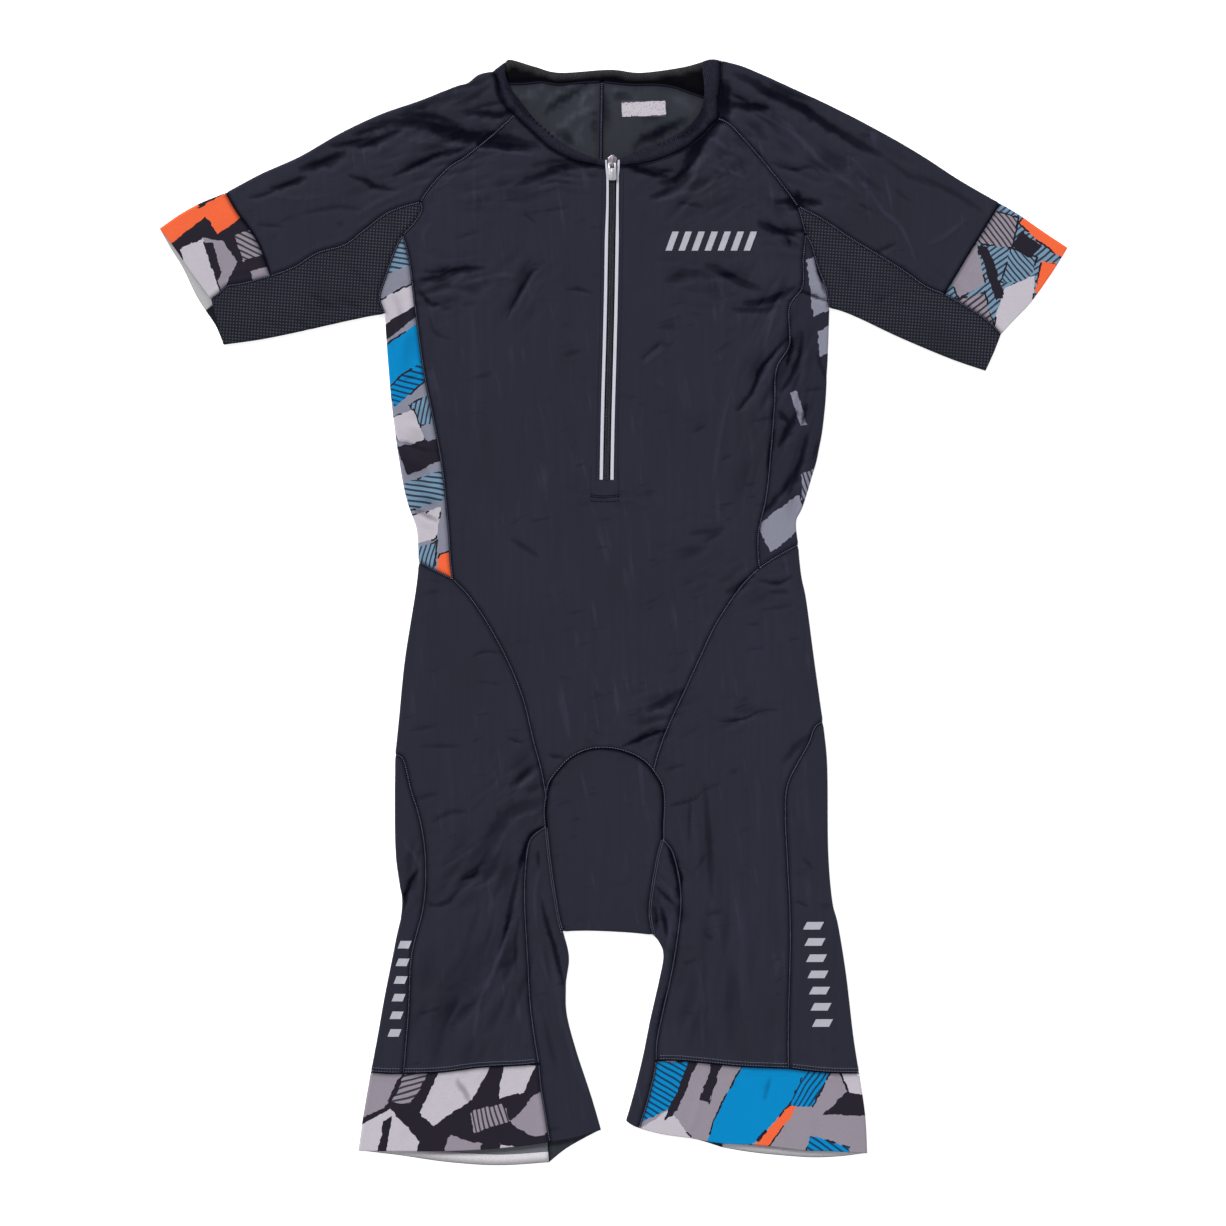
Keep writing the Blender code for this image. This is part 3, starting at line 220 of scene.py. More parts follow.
# Creases of the front layer: width and height in millimetres (below zero for a trough), then the
# points they run through
CREASES = (
    # wearer's right shoulder and sleeve
    (20, -3.0, 370, 127, 393, 124, 424, 125, 443, 131, 464, 137, 499, 139, 538, 147),
    (12, -1.7, 396, 117, 420, 116, 441, 120, 462, 128), (13, -2.2, 462, 136, 480, 143, 510, 147, 542, 149),
    (13, -2.4, 328, 147, 358, 144, 382, 140, 404, 128), (8, -1.6, 352, 136, 372, 130, 388, 126),
    (15, -2.3, 298, 171, 318, 165, 348, 153), (11, -2.1, 270, 190, 284, 187, 308, 178),
    (6, -1.3, 248, 199, 264, 196, 280, 190), (10, -2.1, 392, 178, 416, 165, 437, 157, 458, 152, 474, 144),
    (8, -1.0, 404, 168, 420, 166, 436, 164), (8, -1.7, 348, 176, 367, 182, 378, 188, 397, 191),
    (5, 0.7, 355, 217, 380, 203, 408, 191), (11, -1.8, 462, 114, 481, 114, 499, 116, 519, 109),
    (7, -1.2, 470, 112, 486, 106, 504, 104), (6, -1.5, 496, 74, 501, 90, 507, 106),
    (9, -1.5, 502, 72, 511, 92, 524, 112, 540, 128), (8, -0.9, 434, 96, 456, 88, 478, 84, 494, 76),
    (9, -1.0, 452, 108, 474, 98, 492, 86), (10, -0.8, 404, 112, 438, 103, 470, 94),
    (6, -0.8, 258, 225, 285, 228), (5, 0.6, 222, 276, 250, 270, 270, 272),
    (6, 0.8, 330, 155, 372, 142, 392, 150), (6, 1.0, 400, 140, 450, 146, 500, 152, 540, 158),
    (5, 0.7, 430, 190, 446, 184, 470, 162), (7, -0.7, 300, 215, 340, 208, 366, 212),
    (4, 0.5, 268, 196, 300, 200, 330, 196),
    # wearer's right chest
    (12, -1.7, 513, 188, 531, 180, 546, 175, 558, 169, 598, 165), (6, -1.0, 538, 186, 556, 182, 572, 184),
    (8, -1.0, 530, 168, 556, 162, 584, 164), (6, 0.5, 522, 196, 545, 189, 580, 176),
    (11, -2.0, 419, 280, 440, 279, 456, 271, 486, 269), (7, -1.2, 424, 272, 440, 272, 452, 266),
    (7, -1.4, 417, 288, 430, 303, 445, 306), (5, 0.8, 470, 285, 495, 276, 522, 279),
    (7, -1.2, 540, 268, 531, 274, 524, 286, 514, 304, 507, 320), (5, 0.3, 548, 276, 536, 292, 520, 320),
    (5, -1.1, 565, 291, 580, 290, 594, 295), (7, -0.7, 564, 356, 582, 351),
    (3, 0.5, 476, 156, 474, 190, 476, 240), (5, 0.4, 470, 300, 478, 360, 482, 420),
    (5, -0.8, 524, 214, 536, 224), (6, -0.6, 455, 240, 480, 232), (5, 0.5, 432, 222, 422, 240),
    (5, -0.6, 546, 212, 570, 208), (5, -0.7, 430, 318, 436, 334, 452, 340),
    (4, 0.5, 474, 330, 476, 380, 474, 430),
    # wearer's left shoulder and sleeve
    (18, -3.2, 725, 80, 725, 98, 726, 112, 724, 124), (13, -2.6, 724, 105, 742, 107, 770, 109),
    (7, -1.4, 726, 92, 738, 98, 750, 103),
    (15, -1.9, 731, 74, 748, 81, 766, 92, 786, 101, 808, 113, 835, 131, 858, 140),
    (8, -1.1, 768, 84, 790, 94, 812, 102), (13, -1.5, 826, 124, 856, 144, 884, 158),
    (7, 1.4, 755, 106, 780, 121, 800, 141, 816, 158, 832, 172, 860, 194),
    (5, 1.1, 854, 176, 872, 197, 882, 212, 900, 228, 909, 246, 918, 270),
    (4, 0.8, 840, 155, 853, 161, 869, 179), (5, 0.8, 926, 245, 942, 239, 967, 219),
    (6, -1.1, 769, 162, 790, 170, 811, 168, 822, 177), (13, -2.3, 774, 203, 797, 202, 823, 205),
    (10, -1.8, 796, 190, 799, 204, 788, 211), (12, -1.9, 756, 222, 780, 232, 803, 232),
    (7, -1.3, 780, 228, 788, 240, 790, 248), (6, -1.1, 875, 253, 896, 244), (5, -0.7, 858, 205, 872, 212),
    (9, -0.8, 914, 176, 950, 192, 984, 214), (5, -0.6, 894, 190, 912, 205),
    (7, -0.7, 880, 156, 912, 178, 940, 190),
    # wearer's left chest
    (18, -3.0, 724, 116, 712, 131, 700, 143, 691, 158, 680, 176),
    (12, -2.2, 702, 146, 690, 165, 676, 180, 658, 184), (9, -1.5, 712, 132, 722, 122, 730, 116),
    (12, -1.4, 706, 98, 702, 116, 692, 130, 676, 141), (6, 1.0, 716, 150, 700, 166, 686, 192, 655, 203),
    (5, 0.8, 706, 166, 732, 174, 748, 180), (11, -2.2, 624, 167, 644, 172, 670, 178),
    (6, -1.4, 648, 168, 660, 171, 676, 172), (10, -1.5, 648, 199, 673, 190, 692, 177),
    (6, -1.0, 677, 203, 704, 208), (6, 0.8, 708, 137, 735, 156),
    (13, -1.4, 704, 265, 722, 273, 746, 285, 762, 290), (12, -0.9, 664, 284, 686, 274, 714, 278),
    (12, -1.7, 740, 304, 768, 301, 796, 289), (9, -1.3, 731, 310, 760, 311, 780, 306),
    (5, 0.9, 781, 300, 771, 322, 764, 350), (8, -2.5, 790, 335, 776, 351, 762, 368, 750, 396, 737, 410),
    (7, -1.3, 746, 396, 742, 406, 734, 412), (5, -0.7, 752, 422, 772, 418), (5, -0.9, 640, 361, 664, 340),
    (4, 0.6, 640, 368, 666, 348), (4, 0.6, 727, 295, 720, 316), (5, 0.7, 731, 392, 722, 426, 712, 488),
    (4, 0.45, 738, 352, 735, 392), (5, -0.7, 692, 433, 706, 426), (5, -0.6, 720, 461, 732, 455),
    (5, 0.4, 655, 380, 668, 388), (8, -0.7, 703, 543, 722, 531),
    # wearer's left side panel and under the arm
    (9, -2.8, 802, 330, 799, 356, 790, 379, 779, 394), (6, -2.0, 792, 336, 790, 352, 786, 368),
    (7, -1.9, 807, 402, 804, 416, 801, 428), (11, -2.5, 798, 411, 788, 430, 777, 448),
    (8, -1.7, 778, 410, 784, 418, 790, 424), (10, -2.8, 807, 433, 800, 462, 787, 496),
    (8, -2.2, 794, 470, 786, 486, 776, 500), (8, -1.7, 780, 492, 772, 504, 762, 515),
    (7, -1.7, 774, 430, 770, 452, 768, 474), (5, 0.9, 808, 344, 806, 372, 797, 396),
    (5, 0.9, 813, 420, 807, 452, 800, 478), (6, -1.2, 816, 352, 827, 384), (5, -0.8, 803, 392, 824, 388),
    (5, -1.0, 818, 440, 812, 462), (6, -2.0, 797, 290, 812, 296, 828, 302),
    (5, -1.6, 812, 248, 818, 272, 824, 296), (5, 0.8, 796, 300, 790, 318), (5, 0.7, 786, 410, 782, 440),
    # wearer's right side panel and mesh
    (6, 0.7, 392, 345, 398, 372, 404, 400), (6, -0.9, 400, 440, 428, 452), (7, -1.0, 412, 508, 440, 522),
    (5, -0.7, 404, 380, 420, 376), (8, -1.2, 312, 296, 334, 307), (7, -0.9, 296, 320, 316, 333),
    (6, -0.8, 352, 268, 376, 296), (7, -0.7, 900, 290, 870, 306), (6, -0.8, 832, 262, 850, 276, 846, 292),
    # belly and waist
    (4, 0.2, 545, 470, 551, 515, 552, 560), (4, 0.2, 566, 540, 568, 580, 570, 620),
    (4, 0.25, 630, 520, 631, 590, 632, 660), (4, 0.25, 622, 600, 624, 645, 625, 690),
    (8, -0.8, 510, 538, 526, 548, 540, 558), (8, -0.8, 688, 534, 726, 529),
    (9, -1.2, 724, 594, 738, 587, 755, 574), (6, -1.2, 758, 580, 778, 583, 794, 575),
    (6, -0.8, 768, 592, 790, 592), (4, 0.5, 588, 483, 605, 486, 622, 484),
    (5, -0.9, 472, 657, 484, 652, 502, 653), (6, -0.6, 760, 610, 792, 606), (4, -0.6, 787, 641, 800, 638),
    (4, -0.5, 745, 650, 765, 648), (4, -0.5, 476, 682, 500, 684),
    # hips and thighs
    (7, -1.9, 621, 747, 636, 740, 668, 729), (13, -1.3, 645, 711, 668, 699, 684, 688),
    (7, 0.7, 640, 722, 660, 710, 676, 706), (4, -1.2, 716, 721, 742, 719, 760, 711, 778, 709),
    (10, -1.0, 782, 764, 794, 748, 811, 734), (10, -0.9, 541, 762, 526, 774, 508, 787),
    (5, 0.8, 542, 770, 526, 783, 506, 793), (20, -0.9, 546, 801, 522, 806, 507, 815, 497, 828, 483, 852),
    (24, -0.55, 516, 806, 500, 830, 478, 858, 462, 880), (8, -0.9, 494, 840, 484, 858, 470, 874),
    (6, -1.2, 480, 868, 472, 876, 460, 879), (7, -1.1, 460, 888, 448, 901, 434, 905, 428, 900),
    (6, 0.9, 540, 811, 518, 818, 504, 836, 492, 862), (5, -1.0, 547, 755, 567, 758),
    (5, -0.7, 420, 746, 462, 746), (5, -0.6, 409, 731, 438, 725), (5, -0.9, 508, 738, 524, 743),
    (8, -2.4, 546, 827, 536, 830, 528, 840, 523, 856, 519, 874),
    (8, -1.4, 523, 856, 518, 876, 512, 900, 506, 930, 498, 954),
    (6, 1.4, 523, 888, 512, 916, 502, 948, 492, 973, 480, 1002, 475, 1036),
    (36, -0.5, 500, 930, 476, 962, 457, 990, 443, 1020, 430, 1056),
    (14, -0.4, 476, 940, 458, 972, 446, 1000), (5, -0.9, 520, 915, 516, 940, 516, 972),
    (5, -1.2, 538, 850, 539, 868), (5, 0.9, 540, 870, 535, 895, 537, 930),
    (7, -1.7, 541, 896, 546, 920, 553, 942, 559, 966, 566, 992), (6, 0.8, 551, 950, 557, 985, 562, 1030),
    (9, 0.7, 562, 1012, 572, 1050, 586, 1092), (7, -1.9, 403, 912, 409, 884, 420, 868),
    (5, 1.0, 404, 842, 417, 858, 421, 873, 414, 894), (7, -0.6, 412, 800, 440, 792),
    (7, -0.8, 432, 822, 450, 812, 470, 812), (9, -2.0, 668, 844, 674, 862, 679, 878, 677, 898),
    (7, -1.4, 655, 885, 665, 895, 675, 904), (5, 1.0, 660, 878, 670, 890, 676, 908),
    (7, -1.8, 660, 904, 664, 918, 667, 938), (6, -1.6, 655, 904, 656, 918, 657, 930),
    (5, 0.9, 672, 912, 668, 945, 662, 975), (6, -0.9, 668, 985, 662, 1008, 656, 1032),
    (3, -0.9, 690, 796, 689, 843), (4, -0.8, 706, 853, 695, 871), (5, -0.9, 669, 806, 694, 799, 702, 790),
    (5, -0.7, 664, 770, 686, 764), (9, 0.35, 755, 770, 759, 805, 760, 838),
    (8, 0.35, 690, 800, 696, 840, 697, 880), (8, 0.35, 805, 785, 808, 820, 811, 850),
    (5, -0.9, 794, 900, 808, 906), (5, -0.8, 802, 857, 813, 868), (14, 0.4, 738, 880, 742, 950, 744, 1020),
    (9, -0.8, 704, 780, 709, 840, 712, 900), (7, 0.6, 700, 960, 701, 1005, 704, 1050),
    (8, 0.25, 448, 740, 452, 795, 452, 850), (6, -0.7, 706, 915, 722, 910), (6, -0.7, 704, 932, 714, 940),
    # cuffs and hem bands
    (8, 0.6, 985, 250, 1010, 264, 1040, 276), (9, 0.8, 470, 1086, 487, 1112, 500, 1140),
    (8, -0.9, 456, 1078, 466, 1092, 470, 1104), (8, 0.6, 395, 1090, 400, 1115, 402, 1140),
    (9, 0.7, 700, 1085, 697, 1108, 690, 1130), (10, 0.7, 800, 1085, 808, 1112, 812, 1140),
    (7, -0.7, 770, 1076, 764, 1100),
)
# Fields of small wrinkles: middle, reach across and along, the way they run in degrees (clockwise from
# the sheet's x), the distance between them, their length and their height
WRINKLES = (
    (455, 145, 75, 34, -14, 11, 46, 1.0), (395, 165, 60, 34, -20, 12, 50, 0.7),
    (500, 190, 40, 26, -8, 12, 40, 0.6), (455, 285, 44, 26, -8, 12, 34, 0.9),
    (525, 292, 30, 34, -52, 14, 44, 0.7), (576, 176, 36, 16, 6, 11, 30, 0.7),
    (765, 118, 60, 30, 32, 10, 42, 1.1), (850, 170, 76, 30, 33, 13, 56, 0.8),
    (815, 205, 44, 30, 18, 11, 36, 0.9), (700, 190, 44, 40, -34, 13, 46, 0.9),
    (735, 160, 24, 30, 52, 9, 30, 0.8), (785, 232, 30, 24, 24, 10, 28, 0.9),
    (700, 280, 44, 22, 4, 12, 32, 0.7), (770, 350, 28, 60, -62, 12, 60, 1.1),
    (798, 410, 18, 90, -72, 9, 60, 1.1), (760, 450, 24, 60, -80, 12, 60, 0.5),
    (745, 585, 40, 22, -30, 12, 34, 0.8), (700, 545, 40, 24, -12, 14, 40, 0.45),
    (425, 470, 24, 60, 20, 14, 34, 0.5), (405, 330, 20, 40, 80, 12, 40, 0.4),
    (320, 312, 50, 22, 25, 12, 34, 0.7), (905, 290, 44, 22, 30, 12, 34, 0.5),
    (655, 722, 34, 30, -24, 12, 40, 0.9), (745, 716, 36, 18, -16, 12, 34, 0.5),
    (520, 790, 34, 34, -46, 12, 44, 0.9), (475, 872, 44, 34, -36, 12, 40, 0.9),
    (505, 935, 34, 70, -72, 13, 70, 1.1), (455, 1015, 44, 50, -58, 16, 60, 0.8),
    (553, 985, 20, 66, 74, 10, 60, 0.8), (412, 880, 12, 34, -68, 8, 30, 0.9),
    (670, 905, 18, 44, 60, 9, 34, 0.9), (730, 940, 60, 90, -86, 22, 90, 0.45),
    (700, 1000, 40, 50, -80, 16, 60, 0.45), (610, 500, 40, 14, 0, 10, 24, 0.4),
)
# Creases of the back layer where it shows through the neck; they only rise, and its troughs are only painted
# shade
BACK_CREASES = (
    (6, 1.15, 527, 109, 532, 100, 538, 90, 546, 82), (6, 1.03, 546, 104, 553, 96, 561, 91, 578, 83),
    (10, -1.5, 543, 115, 554, 105, 567, 97, 588, 84),
    (7, 1.26, 553, 127, 565, 125, 570, 119, 589, 109, 598, 104),
    (6, 1.03, 578, 110, 583, 99, 590, 93, 597, 88), (11, -1.35, 556, 133, 567, 137, 572, 147),
    (5, 1.03, 551, 134, 558, 137, 564, 134), (8, -1.2, 596, 104, 595, 122, 595, 140),
    (7, 0.8, 584, 150, 578, 138, 582, 124), (7, 0.69, 512, 92, 524, 96, 534, 90),
    (11, -1.2, 612, 100, 622, 94, 634, 99), (6, 0.8, 609, 88, 622, 92, 636, 99),
    (15, -1.95, 632, 149, 643, 139, 657, 134, 672, 126, 688, 118), (12, -1.05, 606, 92, 606, 112, 608, 130),
    (10, 0.57, 668, 96, 684, 104, 696, 112), (11, -0.75, 640, 122, 652, 118, 668, 110),
)


def length(name, description, millimetres):
    return FloatProperty(name=name, description=description, default=millimetres / 1000.0, unit="LENGTH",
                         precision=5)


def colour(name, description, default):
    return FloatVectorProperty(name=name, description=description, default=default, subtype="COLOR", size=3,
                               min=0.0, max=1.0)


class CutSettings(bpy.types.PropertyGroup):
    """Sizes of the cut pieces and of their meshes."""

    wall: length("Cloth thickness", "Thickness of the stretch cloth", 1.1)
    band_wall: length("Band thickness", "Thickness of the ribbed neck band", 1.5)
    seam_gap: length("Seam gap", "Free space between two pieces at a seam", 0.3)
    fold_radius: length("Fold radius", "Radius of the cloth where it turns from front to back", 1.9)
    front_height: length("Front height", "Height of the front layer above the ground", 5.6)
    edge_ramp: length("Edge ramp", "Distance over which the front rises from a folded edge", 26.0)
    lowest: length("Lowest front", "Least height of the front layer", 2.9)
    step: length("Mesh step", "Distance between points of the cloth's mesh", 2.2)


class CreaseSettings(bpy.types.PropertyGroup):
    """How far the cloth leaves its plain form."""

    strength: FloatProperty(name="Crease strength", description="Scale of all placed creases", default=1.0)
    fine: FloatProperty(name="Small wrinkles", description="Scale of the small wrinkles", default=1.5)
    roll: length("Roll", "Height of the broad unevenness of the cloth", 0.55)
    ripple: length("Ripple", "Height of the narrow lengthwise ripples", 0.22)
    pucker: length("Pucker", "Height of the puckers beside a seam", 0.45)
    seam_dip: length("Seam dip", "How far the cloth sinks at a seam", 0.9)
    seam_lip: length("Seam lip", "How far the cloth swells beside a seam", 0.35)


class ColourSettings(bpy.types.PropertyGroup):
    """Colours of the suit, as linear values."""

    cloth: colour("Cloth", "Outside of the stretch cloth", (0.0210, 0.0214, 0.0350))
    inside: colour("Inside", "Inside of the stretch cloth", (0.0300, 0.0318, 0.0430))
    # Painted shade in troughs and beside seams; the dark stitches also take it as their thread colour
    deep: colour("Deep", "Cloth in troughs and beside seams", (0.0014, 0.0017, 0.0056))
    mesh: colour("Mesh", "Ground of the underarm mesh", (0.0132, 0.0136, 0.0206))
    mesh_dot: colour("Mesh dots", "Raised dots of the underarm mesh", (0.058, 0.060, 0.072))
    band: colour("Neck band", "Ribbed neck band", (0.0155, 0.0158, 0.0258))
    band_turned: colour("Turned band", "Inside of the ribbed neck band", (0.0330, 0.0330, 0.0350))
    shadow: colour("Shadow", "Foot of the turned neck band", (0.0008, 0.0008, 0.0014))
    thread: colour("Seam cord", "Covered seam", (0.0080, 0.0084, 0.0165))
    stitch: colour("Stitch", "Top stitches", (0.1400, 0.1440, 0.2050))
    grey: colour("Print grey", "Middle grey of the print", (0.275, 0.245, 0.290))
    slate: colour("Print slate", "Bluish grey of the print", (0.225, 0.232, 0.295))
    light: colour("Print light grey", "Light grey of the print", (0.500, 0.465, 0.520))
    dark: colour("Print charcoal", "Darkest tone of the print", (0.0190, 0.0160, 0.0245))
    navy: colour("Print navy", "Ruled lines of the print", (0.010, 0.030, 0.080))
    bright: colour("Print blue", "Bright blue of the print", (0.002, 0.225, 0.520))
    steel: colour("Print steel blue", "Soft blue of the print", (0.165, 0.275, 0.390))
    orange: colour("Print orange", "Orange of the print", (0.830, 0.130, 0.045))
    lining: colour("Print inside", "Inside of the printed cloth", (0.105, 0.112, 0.130))
    cuff_lining: colour("Cuff inside", "Inside of the cuffs", (0.42, 0.42, 0.43))
    pale: colour("Grip", "Grip inside the hems", (0.56, 0.54, 0.58))
    reflective: colour("Reflective", "Reflective marks", (0.47, 0.48, 0.540))
    zip_line: colour("Zip line", "Reflective lines along the zip", (0.63, 0.64, 0.735))
    tape: colour("Zip tape", "Zip tape and coil", (0.0230, 0.0236, 0.0370))
    bed: colour("Zip bed", "Tape under the coil", (0.0062, 0.0062, 0.0125))
    slider: colour("Slider metal", "Slider", (0.46, 0.42, 0.47))
    metal: colour("Pull metal", "Pull tab", (0.80, 0.79, 0.84))


class SewingSettings(bpy.types.PropertyGroup):
    """Seams, stitches and zip."""

    cord_width: length("Cord width", "Width of the covered seams", 2.1)
    cord_height: length("Cord height", "Height of the covered seams", 1.3)
    cover_pitch: length("Cover pitch", "Distance between threads across a covered seam", 1.8)
    cover_length: length("Cover length", "Length of a thread across a covered seam", 1.25)
    cover_thickness: length("Cover thickness", "Thickness of a thread across a covered seam", 0.9)
    stitch_pitch: length("Stitch pitch", "Distance between top stitches", 2.7)
    stitch_length: length("Stitch length", "Length of one top stitch", 2.0)
    stitch_thickness: length("Stitch thickness", "Thickness of the thread", 0.7)
    tooth_pitch: length("Tooth pitch", "Distance between turns of the zip's coil", 1.4)
    tooth_width: length("Tooth width", "Length of one turn of the coil across the zip", 2.9)
    bevel: length("Metal edge", "Rounding of the slider's edges", 0.22)


class StageSettings(bpy.types.PropertyGroup):
    """Camera, light and floor."""

    camera_height: length("Camera height", "Height of the camera above the floor", 2600.0)
    view_width: length("View width", "Width of the floor that the camera sees", 1226.0)
    floor_reach: length("Floor reach", "How far the floor goes on every way", 60000.0)
    sky: FloatProperty(name="Sky", description="Strength of the even light low down", default=0.60)
    zenith: FloatProperty(name="Zenith", description="Strength of the even light overhead", default=0.24)
    key: FloatProperty(name="Key light", description="Strength of the main light in watts a square metre",
                       default=3.1)
    softness: FloatProperty(name="Softness", description="Apparent width of the main light in degrees",
                            default=20.0)
    fill: FloatProperty(name="Fill light", description="Power of the opposite light in watts", default=110.0)


SETTINGS = {"suit_cut": CutSettings, "suit_creases": CreaseSettings, "suit_colours": ColourSettings,
            "suit_sewing": SewingSettings, "suit_stage": StageSettings}


def settings(name):
    return getattr(bpy.context.scene, "suit_" + name)


# ---------------------------------------------------------------- drafting
def place(x, y):
    """Turns a point of the pattern's sheet into metres about the origin."""
    return np.array(((x - SHEET_MIDDLE[0]) / 1000.0, (SHEET_MIDDLE[1] - y) / 1000.0))


def places(numbers):
    """Points of a run of sheet numbers, x and y in turn."""
    return [place(x, y) for x, y in zip(numbers[::2], numbers[1::2])]


def link_new(name, data):
    """An object of the scene that shows the given data."""
    made = bpy.data.objects.new(name, data)
    bpy.context.scene.collection.objects.link(made)
    return made


def smooth_faces(data, state=True):
    """Shades a mesh round, or flat if the state is False."""
    data.polygons.foreach_set("use_smooth", [state] * len(data.polygons))


def grid_faces(rows, columns):
    """Faces of an even grid whose points are numbered row by row."""
    return [(a, a + 1, a + columns + 1, a + columns)
            for row in range(rows - 1) for a in range(row * columns, (row + 1) * columns - 1)]


def spline(points, step):
    """Even points along a smooth curve through the given ones."""
    points = np.asarray(points, dtype=float)
    ends = np.vstack((points[:1], points, points[-1:]))
    t = np.linspace(0.0, 1.0, 16, endpoint=False)[:, None]
    runs = []
    for p0, p1, p2, p3 in zip(ends, ends[1:], ends[2:], ends[3:]):
        square = (2 * p0 - 5 * p1 + 4 * p2 - p3) * t ** 2
        cube = (3 * p1 - p0 - 3 * p2 + p3) * t ** 3
        runs.append(0.5 * (2 * p1 + (p2 - p0) * t + square + cube))
    dense = np.vstack(runs + [points[-1:]])
    return even(dense, step)


def even(dense, step):
    """The same path with its points at equal distances."""
    reach = np.concatenate(([0.0], np.cumsum(np.linalg.norm(np.diff(dense, axis=0), axis=1))))
    count = max(1, round(reach[-1] / step))
    at = np.linspace(0.0, reach[-1], count + 1)
    return np.column_stack([np.interp(at, reach, dense[:, k]) for k in range(dense.shape[1])])


def tree_of(points):
    tree = KDTree(len(points))
    for index, point in enumerate(points):
        tree.insert((point[0], point[1], 0.0), index)
    tree.balance()
    return tree


def nearest(tree, points):
    """Distance of each flat point to the tree's nearest one."""
    return np.array([tree.find((x, y, 0.0))[2] for x, y in points])


def smooth(t):
    t = np.clip(t, 0.0, 1.0)
    return t * t * (3.0 - 2.0 * t)


def noise_at(points, across, along, seed):
    """Smooth unevenness from -1 to 1, with its own scale in x and in y."""
    return np.array([noise.noise(Vector((x / across, y / along, seed))) for x, y in points])


def left_of(way):
    normal = np.array((-way[1], way[0]))
    return normal / np.linalg.norm(normal)


class Pattern:
    """All drafted lines of the suit, sampled at the mesh step."""

    def __init__(self, step):
        self.spots = {}
        self.lines = {}
        for name, xr, yr, xl, yl in POINTS:
            self.spots[name + "_r"] = place(xr, yr)
            self.spots[name + "_l"] = place(xl, yl)
        for name, x, y in MIDDLE_POINTS:
            self.spots[name] = place(x, y)
        for name, kind, start, end, right, left in LINES:
            for side, way in (("_r", right), ("_l", left)):
                self.add(name + side, kind, self.spot(start, side), self.spot(end, side), way, step)
        for name, kind, start, end, way in MIDDLE_LINES:
            self.add(name, kind, start, end, way, step)
        self.zip = spline([place(x, y) for y, x in ZIP_PATH], step)
        for side, sign in (("_r", -1.0), ("_l", 1.0)):
            edge = self.zip + np.array((sign * ZIP_HALF_WIDTH / 1000.0, 0.0))
            edge = edge[edge[:, 1] < self.spots["zip_neck" + side][1] - step * 0.4]
            edge = np.vstack((self.spots["zip_neck" + side], edge))
            self.spots["zip_end" + side] = edge[-1]
            self.keep("zip_side" + side, "seam", "zip_neck" + side, "zip_end" + side, edge)
        bottom = spline([self.spots["zip_end_r"], self.spots["zip_end_l"]], step)
        self.keep("zip_bottom", "seam", "zip_end_r", "zip_end_l", bottom)

    def spot(self, name, side):
        return name if name in self.spots else name + side

    def add(self, name, kind, start, end, way, step):
        self.keep(name, kind, start, end, spline([self.spots[start], *places(way), self.spots[end]], step))

    def keep(self, name, kind, start, end, points):
        self.lines[name] = SimpleNamespace(name=name, kind=kind, start=start, end=end, points=points)

    def sided(self, names, side):
        return [name if name in self.lines else name + side for name in names]

    def walk(self, names):
        """The lines of a closed loop, counter-clockwise, each with its points in walking order."""
        lines = [self.lines[name] for name in names]
        at = lines[0].start if lines[0].end in (lines[1].start, lines[1].end) else lines[0].end
        loop = []
        for line in lines:
            forward = line.start == at
            if not forward and line.end != at:
                raise RuntimeError(f"{line.name} does not continue the loop at {at}")
            at = line.end if forward else line.start
            loop.append((line, line.points if forward else line.points[::-1], forward))
        flat = np.vstack([points[:-1] for _, points, _ in loop])
        after = np.roll(flat, -1, axis=0)
        if (flat[:, 0] * after[:, 1] - after[:, 0] * flat[:, 1]).sum() < 0:
            loop = [(line, points[::-1], not forward) for line, points, forward in reversed(loop)]
        return loop


def mitre(point, n1, n2, d1, d2):
    """Where two edges that meet at a point cross, once each has moved inwards."""
    cross = n1[0] * n2[1] - n1[1] * n2[0]
    if abs(cross) < 0.02:
        both = n1 + n2
        return point + both / np.linalg.norm(both) * max(d1, d2)
    return point + np.array(((d1 * n2[1] - d2 * n1[1]) / cross, (d2 * n1[0] - d1 * n2[0]) / cross))


def corner(point, came, go, d1, d2):
    """At a corner: the moved end of one line and start of the next, and the rim each reaches out to."""
    n1 = left_of(came)
    n2 = left_of(go)
    if abs(d1 - d2) > 1e-6 and n1 @ n2 > 0.8:
        return point + n1 * d1, point + n2 * d2, point, point
    both = mitre(point, n1, n2, d1, d2)
    return both, both, mitre(point, n1, n2, 0.0, d2), mitre(point, n1, n2, d1, 0.0)


